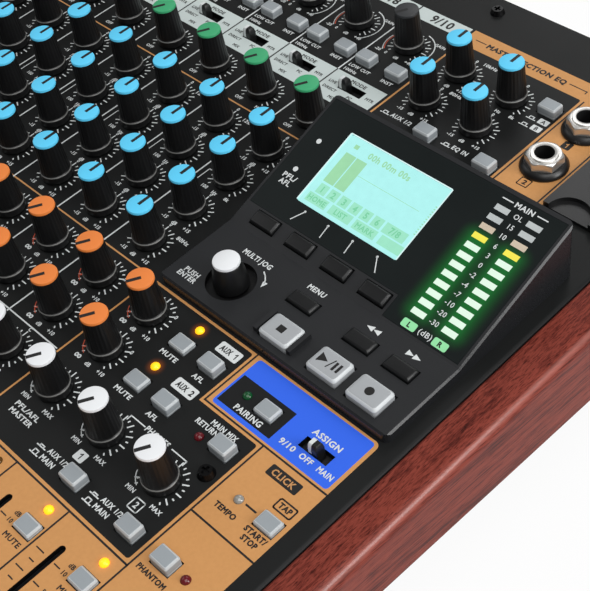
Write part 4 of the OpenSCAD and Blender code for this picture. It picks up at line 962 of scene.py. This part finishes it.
def socket_shape():
    """The bushing with its bore, on a square body below the panel, sampled at the same angles."""
    angle = np.linspace(0, 2 * np.pi, 32, endpoint=False)
    side_x = 7.5 / np.maximum(np.abs(np.cos(angle)), 1e-6)
    side_y = 9 / np.maximum(np.abs(np.sin(angle)), 1e-6)
    square = np.minimum(side_x, side_y)
    rows = [(-30, square), (-2.05, square), (-2.05, 4.7), (5.9, 4.7), (6.05, 4.55), (6.05, 3.4),
            (5.95, 3.25), (-23.9, 3.25)]
    return loft(rings_at(rows, angle), [0, 0, 1, 1, 1, 0, 0], 0, 0)


bezel_rows = [(0.05, 4.8, 0), (0.05, 8.1, 0), (0.35, 8.25, 0), (0.8, 8.2, 0), (1.9, 7.1, 0),
              (2.25, 6.7, 0), (2.25, 4.8, 0)]
bezel = lathe(bezel_rows, 48, 2)
nickel = grained("nickel_plate", (222, 220, 216), 0.28, 500.0, 0.00001, 0.06, Metallic=0.85)
phones_places = [(116.45, 295.6, 0), (116.45, 317.8, 0)]
phones = joined([bezel, nut_shape(), socket_shape()]).at(phones_places).moved(on_panel)
phones_finishes = [grained("bore_black", (8, 8, 9), 0.6), nickel,
                   grained("bezel_black", (17, 17, 18), 0.32, 1800.0, 0.00001)]
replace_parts(piece("phones_sockets", phones, phones_finishes, slot="nickel"), "phones_jacks")


# Console: a moulded cover over the recorder, a low deck of keys in front of a sloping display.
# Charcoal plastic with a fine spark texture and bevelled edges; its labels are printed in white.
console_x, console_y = 55.0, 180.0
deck_depth, deck_h = 30.7, 3.8
display_depth, display_h = 52.5, 21.5
display_tilt = math.atan2(display_h - deck_h, display_depth)
jog_place = (20.7, 12.4)


def on_deck(points):
    """Millimetres from the console's front left corner, z off the deck, as metres in the object."""
    return on_panel(np.asarray(points, float) + (console_x, console_y, deck_h))


def on_display(points):
    """Millimetres from the display's front left corner, y up its slope and z off its face, as metres."""
    x, y, z = np.moveaxis(np.asarray(points, float), -1, 0)
    back = deck_depth + y * math.cos(display_tilt) - z * math.sin(display_tilt)
    return on_deck(np.stack([x, back, y * math.sin(display_tilt) + z * math.cos(display_tilt)], -1))


def triangle(x, y, width, height):
    """A filled triangle that points along its width, backwards where that is negative."""
    points = [[x, y - height / 2, 0], [x + width, y, 0], [x, y + height / 2, 0]]
    return Shape(points, [([[0, 1, 2] if width > 0 else [2, 1, 0]], 0)])


def console_finish():
    """Charcoal with a spark texture, smooth along the bevelled edges, with painted shade: near black in the
    jog dial's well.
    """
    material = grained("charcoal_plastic", (31, 32, 34), 0.45, 2200.0, 0.00003, 0.15,
                       **{"Specular IOR Level": 0.3})
    place = object_place(material)
    across, along, _ = slope_axes(place, tilt, (0, front_y, front_h))
    x, y = across - (console_x + jog_place[0]), along - (console_y + jog_place[1])
    # painted shade: the round well of the jog dial is painted near black
    well = place.math("SQRT", x * x + y * y) < 8.31
    edge = outside(across - console_x, along - console_y, 0.62, 0.62, 97.08, 90, 0.1) > 0.1
    shader = place.tree.nodes["Principled BSDF"]
    skin, gloss = (Wire(place.tree, shader.inputs[name].links[0].from_socket)
                   for name in ("Base Color", "Roughness"))
    return shade(material, {
        "Base Color": mixed(well, skin, screen_colour(6, 6, 7)),
        "Roughness": gloss - 0.22 * edge,
    })


coat(console_finish(), "console_shell")
deck_print = [spanning("MULTI JOG", 14.4, 26.9, 23.0, 2.1), spanning("MENU", 41.2, 48.3, 25.4, 2.0),
              spanning("PUSH", 5.3, 11.6, 6.0, 2.0), spanning("ENTER", 4.4, 12.4, 3.7, 2.0)]
deck_print += [triangle(68.55, 26.2, -2.65, 2.1), triangle(71.2, 26.2, -2.65, 2.1)]
deck_print += [triangle(81.8, 26.2, 2.65, 2.1), triangle(84.45, 26.2, 2.65, 2.1)]
deck_print.append(stroke([(26.2, 21.5), (27.7, 20.6), (29.0, 19.4), (29.8, 18.1)], line_width))
deck_print.append(Shape([[28.9, 18.6, 0], [30.0, 16.3, 0], [30.7, 18.8, 0]], [([[0, 1, 2]], 0)]))
piece("console_labels", joined(deck_print).at(print_lift).moved(on_deck), [ink_white],
      slot="charcoal_plastic")


# Window: a smoked sheet set flush in the display face, clear over the screen and printed black elsewhere.
# Painted green light glows on it round the lit bars of the level meter.
bar_pitch, bar_first, bar_h = 3.68, 7.65, 2.0
lit_bars = 8
left_bars, right_bars = (73.4, 78.5), (85.3, 90.5)


def window_finish():
    """Black satin, clear inside the screen's rounded rectangle, with painted green light round the lit bars.
    """
    material, place = new_finish("smoked_window")
    corner = on_display([0, 0, 0]) * 1000
    x, y, _ = slope_axes(place, tilt + display_tilt, corner)
    cloud = noise(place, 50.0, 3.0)
    clear = outside(x, y, 15.3, 17.45, 58.7, 46.15, 0.8) < 0.8
    # painted light: a green glow painted on the window round the lit bars
    bar_glow_paint, bar_glow_reach = 0.0, 6.0
    for low, high in (left_bars, right_bars):
        away = outside(x, y, low, bar_first, high, bar_first + lit_bars * bar_pitch, 0.5)
        fall = place.math("MAXIMUM", 1 - away * (1 / bar_glow_reach), 0.0)
        bar_glow_paint = fall * fall + bar_glow_paint
    return shade(material, {
        "Base Color": mixed(cloud, screen_colour(15, 20, 20), screen_colour(21, 27, 27)),
        "Roughness": 0.34 + 0.08 * cloud,
        "Specular IOR Level": 0.16,
        "Alpha": 1 - clear * 0.97,
        "Emission Color": mixed(bar_glow_paint, (0, 0, 0, 1), screen_colour(10, 128, 44)),
        "Emission Strength": 0.6,
    })


outline = np.array([[1.6, 9.0], [66.9, 9.0], [66.9, 1.1], [96.1, 1.1], [96.1, 53.8], [1.6, 53.8]])
sheet = loft([flat(outline, z) for z in (-1.25, 0.0)], 0, 0, 0)
window = piece("window_sheet", sheet.moved(on_display), [window_finish()], slot="smoked_window")
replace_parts(window, "display_window")
thin = 0.012
window_print = [spanning("MAIN", 78.5, 85.4, 50.6, 1.9)]
window_print += [bar(73.5, 51.4, 77.6, 51.8), bar(86.5, 51.4, 90.5, 51.8)]
for k, level in enumerate("-30 -20 -10 -7 -4 -2 0 3 6 10 15 OL".split()):
    window_print.append(words(level, 82.0, bar_first + k * bar_pitch - 0.85, 1.75, weight=thin))
window_print.append(spanning("(dB)", 79.7, 84.6, 2.4, 1.8, thin))
for y in (38.0, 25.9):
    window_print.append(disc(7.5, y, 0.95))
window_print += [spanning("PFL/", 4.9, 10.8, 21.7, 1.95), spanning("AFL", 5.2, 9.9, 19.3, 1.95)]
for dot, end in ((21.4, 18.8), (31.7, 31.9), (42.3, 42.6), (52.8, 55.5)):
    window_print.append(stroke([(end, 10.9), (dot, 15.3)], 0.36))
    window_print.append(disc(dot, 15.4, 0.45, 10))
piece("window_labels", joined(window_print).at(print_lift).moved(on_display), [ink_white],
      slot="smoked_window")


# Level meter: two columns of twelve bars, the lower eight green, one yellow, and the upper ones unlit.
# Two small green plates mark the sides.
def glowing(name, colour):
    """A lit surface: its own light, with a little noise over the diffuser."""
    material, place = new_finish(name)
    glow = mixed(noise(place, 400.0, 2.0), toned(colour, 0.9), screen_colour(*colour))
    return shade(material, {
        "Base Color": (0.02, 0.02, 0.02, 1),
        "Roughness": 0.4,
        "Specular IOR Level": 0.1,
        "Emission Color": glow,
        "Emission Strength": 1.0,
    })


meter = []
bar_colours = [0] * lit_bars + [1, 2, 3, 3]
for low, high in (left_bars, right_bars):
    for k, colour in enumerate(bar_colours):
        y = bar_first + k * bar_pitch - bar_h / 2
        meter.append(with_finish(bar(low, y, high, y + bar_h), colour))
for (low, high), letter in ((left_bars, "L"), (right_bars, "R")):
    meter.append(with_finish(plate(low - 0.1, 1.7, high + 0.1, 4.5, 0.6), 4))
    meter.append(with_finish(words(letter, (low + high) / 2, 2.2, 1.8, weight=0.05), 5).at([[0, 0, 0.02]]))
meter_finishes = [
    glowing("bar_green", (232, 255, 236)), glowing("bar_yellow", (250, 238, 80)),
    ink_finish("bar_beige", (206, 190, 168)), ink_finish("bar_grey", (186, 192, 192)),
    glowing("plate_green", (150, 230, 168)), ink_black,
]
piece("meter_bars", joined(meter).at([[0, 0, 0.03]]).moved(on_display), meter_finishes, slot="screen")


# Screen: a lit panel of liquid crystal under the window, beside the block that carries the meter.
# Pale cyan, with boxes, bars and figures in a slightly darker green.
screen = joined([
    with_finish(plate(15.15, 17.3, 58.85, 46.3, 0.8), 1).at([[0, 0, -1.28]]),
    block(15.1, 17.25, -6.3, 58.9, 46.35, -1.3), block(71.5, 5, -6.3, 92.5, 49.5, -1.3),
])
screen_finishes = [grained("module_black", (16, 16, 17), 0.5),
                   glowing("screen_lit", (184, 255, 252))]
module = piece("screen_module", screen.moved(on_display), screen_finishes, slot="screen")
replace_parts(module, "display_module")
figures = [bar(19.7, 42.0, 21.5, 43.6), spanning("00h 00m 00s", 26.3, 44.0, 41.2, 2.4)]
figures += [bar(18.7, 27.5, 23.1, 39.7), bar(23.5, 27.5, 27.9, 39.7)]
boxes, marks = [], []
for k in range(7):
    x = 19.0 + 4.8 * k
    width = 3.9 if k < 6 else 8.9
    boxes.append(bar(x, 22.9, x + width, 26.7))
    marks.append(words("1 2 3 4 5 6 7/8".split()[k], x + width / 2, 23.6, 2.4))
for k, (low, high) in enumerate(((17.6, 26.3), (27.8, 37.0), (38.3, 47.6), (49.2, 58.3))):
    boxes.append(bar(low, 19.0, high, 22.4))
    if k < 3:
        marks.append(words(("HOME", "LIST", "MARK")[k], (low + high) / 2, 19.7, 2.0))
figures += [bar(57.6, 27.5 + 1.0 * k, 58.2, 27.85 + 1.0 * k) for k in range(12)]
figures.append(bar(28.0, 34.6, 54.0, 34.75))
for name, shapes, colour, lift in (
    ("screen_figures", figures, (164, 228, 178), -1.26),
    ("screen_boxes", boxes, (164, 240, 208), -1.26),
    ("screen_marks", marks, (126, 214, 168), -1.24),
):
    drawn = joined(shapes).at([[-0.83, 0.22, lift]]).moved(on_display)
    piece(name, drawn, [glowing(name, colour)], slot="screen")
# painted light: a rim brighter than the lit screen, painted on the window along the edge of its opening
rim = joined([bar(15.3, 17.7, 15.7, 45.9), bar(15.6, 45.75, 58.4, 46.15), bar(58.3, 17.7, 58.7, 45.9),
              with_finish(bar(15.7, 17.6, 16.3, 45.75), 1)])
rim_finishes = [glowing("screen_rim_painted_glow", (226, 255, 255)), screen_finishes[1]]
piece("screen_rim_painted_glow", rim.at([[0, 0, 0.01]]).moved(on_display), rim_finishes, slot="screen")


# Keys of the console: three large transport keys, three small ones behind them and four under the screen.
# The large keys are pale, with painted highlights in a lighter grey on their edges, and black marks; the
# small ones are satin black.
key_pale = grained("key_pale", (158, 161, 164), 0.36, 1600.0, 0.00001, 0.05)
key_edge_highlight = grained("key_edge_highlight", (198, 202, 204), 0.34, 1600.0, 0.00001, 0.04)
key_black = grained("key_black", (14, 15, 16), 0.34, 1600.0, 0.00001,
                    **{"Specular IOR Level": 0.35})
large_rows = [(0, -5.3), (0, 1.35), (0.1, 1.6), (0.6, 2.2), (0.75, 2.3), (1.1, 2.36), (1.8, 2.4)]
# painted highlight: the upper sides and chamfer of a large key are a lighter grey
large_key = pillow(12, 9, 1.2, large_rows, [0, 2, 2, 2, 0, 0])
small_rows = [(0, 0.6), (0.08, 0.8), (0.55, 1.3), (0.7, 1.38), (1.0, 1.4)]
small_key, function_form = (pillow(10.2, 5.1, 0.5, [(0, foot)] + small_rows) for foot in (-5.3, -3.4))
stop_mark = bar(-1.35, -1.25, 1.35, 1.25)
play_mark = joined([triangle(-4.1, 0, 3.4, 3.6), bar(1.7, -1.6, 2.6, 1.6), bar(3.3, -1.6, 4.2, 1.6),
                    stroke([(0.0, -1.7), (1.1, 1.7)], line_width)])
record_mark = disc(0, 0, 1.5, 24)


def key(name, form, finishes, slot):
    """Puts a key's form in the place of its node."""
    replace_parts(piece(name + "_cap", form, finishes, name, 30, slot=slot), name)


for name, x, mark in (
    ("stop_key", 48.8, stop_mark), ("play_key", 68.8, play_mark), ("record_key", 84.6, record_mark),
):
    form = joined([large_key, with_finish(mark, 1).at([[0, 0, 2.43]])]).at([[x, 7.6, 0]])
    key(name, form.moved(on_deck), [key_pale, ink_black, key_edge_highlight], "button_grey")
for name, x in (("menu_key", 44.9), ("rewind_key", 68.8), ("forward_key", 84.6)):
    key(name, small_key.at([[x, 20.25, 0]]).moved(on_deck), [key_black], "key_black")
for k in range(4):
    form = function_form.at([[12.3 + 16 * k, 5.3, 0]]).moved(on_display)
    key(f"function_key_{k + 1}", form, [key_black], "key_black")


# Jog dial: a dial that turns and is pressed, standing in a round well of the deck.
# Black and smooth, with a plain white cap; its steel shaft runs in the encoder below.
jog_rows = [(10.7, 3.05, 0), (2.4, 3.05, 0), (2.4, 5.6, 0), (2.6, 5.8, 0), (4.4, 5.8, 0), (11.9, 4.72, 0),
            (12.2, 4.62, 0), (12.4, 4.45, 0), (12.9, 4.45, 0), (13.25, 4.3, 0), (13.4, 4.0, 0)]
jog_centre = (console_x + jog_place[0], console_y + jog_place[1], 0)
jog = lathe(jog_rows, 64, [0] * 7 + [1] * 3, 1, 0).at([jog_centre])
jog_finishes = [knob_black, knob_finishes[white_cap]]
dial_piece = piece("jog_dial", jog.moved(on_panel), jog_finishes, "jog_knob", slot="knob_black")
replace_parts(dial_piece, "jog_knob")
coat(steel, "jog_shaft")


# Card cover: a flap over the card slot, hinged at its rear edge, with a round dip for a fingertip.
# Black plastic, satin.
cover_black = grained("cover_black", (19, 19, 20), 0.34, 1800.0, 0.00002)
coat(cover_black, "card_cover")


# Screws: black cross-head screws that hold the panel to the pan, and the pan to the cheeks.
# Blackened steel, glossier than the panel.
coat(grained("screw_black", (13, 13, 14), 0.2, 900.0, 0.00001, 0.1, Metallic=0.6), "screws")


# Floor and light: a pale table with a wide soft light above it and a strong one at the right.
# The camera stands where the photograph was taken.
floor_finish = bpy.data.materials.new("pale_floor")
floor_finish.use_nodes = True
start = Wire(floor_finish.node_tree)
shade(floor_finish, {"Base Color": (0.9, 0.9, 0.9, 1), "Roughness": 0.8})
glow = start.node("ShaderNodeEmission", {"Color": (1, 1, 1, 1), "Strength": 1.0})
seen = start.node("ShaderNodeLightPath", {}, out="Is Camera Ray")
ground = Wire(start.tree, start.tree.nodes["Principled BSDF"].outputs[0])
backdrop = start.node("ShaderNodeMixShader", {0: seen * 0.92, 1: ground, 2: glow})
start.tree.links.new(backdrop.output, start.tree.nodes["Material Output"].inputs["Surface"])
floor_mesh = bpy.data.meshes.new("floor")
floor_z = -0.0001
floor_corners = [(x, y, floor_z) for x, y in ((-4, -4), (4, -4), (4, 4), (-4, 4))]
floor_mesh.from_pydata(floor_corners, [], [(0, 1, 2, 3)])
floor_mesh.materials.append(floor_finish)
floor = bpy.data.objects.new("floor", floor_mesh)
bpy.context.scene.collection.objects.link(floor)

world = bpy.data.worlds.new("studio")
bpy.context.scene.world = world
world.use_nodes = True
start = Wire(world.node_tree)
seen = start.node("ShaderNodeLightPath", {}, out="Is Camera Ray")
room = start.node("ShaderNodeBackground", {"Color": (1, 1, 1, 1), "Strength": 0.28})
white = start.node("ShaderNodeBackground", {"Color": (1, 1, 1, 1), "Strength": 1.0})
sky = start.node("ShaderNodeMixShader", {0: seen, 1: room, 2: white})
start.feed(world.node_tree.nodes["World Output"].inputs["Surface"], sky)
for name, place, size, power in (
    ("overhead", (0.6, -0.25, 1.3), 1.2, 12.6),
    ("right", (1.23, 0.3, 0.71), 0.5, 8.0),
    ("left", (-1.1, -0.4, 0.9), 0.8, 2.6),
    ("rear", (-0.4, 0.95, 1.0), 0.5, 2.0),
):
    lamp = bpy.data.lights.new(name, "AREA")
    lamp.energy = power
    lamp.size = size
    holder = bpy.data.objects.new(name, lamp)
    bpy.context.scene.collection.objects.link(holder)
    holder.location = place
    holder.rotation_euler = (-Vector(place)).to_track_quat("-Z", "Y").to_euler()

camera_data = bpy.data.cameras.new("camera")
camera_data.sensor_width = 36.0
camera_data.lens = 76.63
camera_data.clip_start = 0.01
camera = bpy.data.objects.new("camera", camera_data)
bpy.context.scene.collection.objects.link(camera)
axes = np.array([[0.69635, 0.70736, -0.12137], [-0.47346, 0.57986, 0.66308], [0.5394, -0.4043, 0.7387]])
lean = np.array([[1, 0, 0], [0, math.cos(tilt), -math.sin(tilt)], [0, math.sin(tilt), math.cos(tilt)]])
view = Matrix((lean @ axes.T).tolist()).to_4x4()
view.translation = on_panel([302.7, 45.7, 287.2])
camera.matrix_world = view
bpy.context.scene.camera = camera
bpy.context.scene.view_settings.view_transform = "Standard"
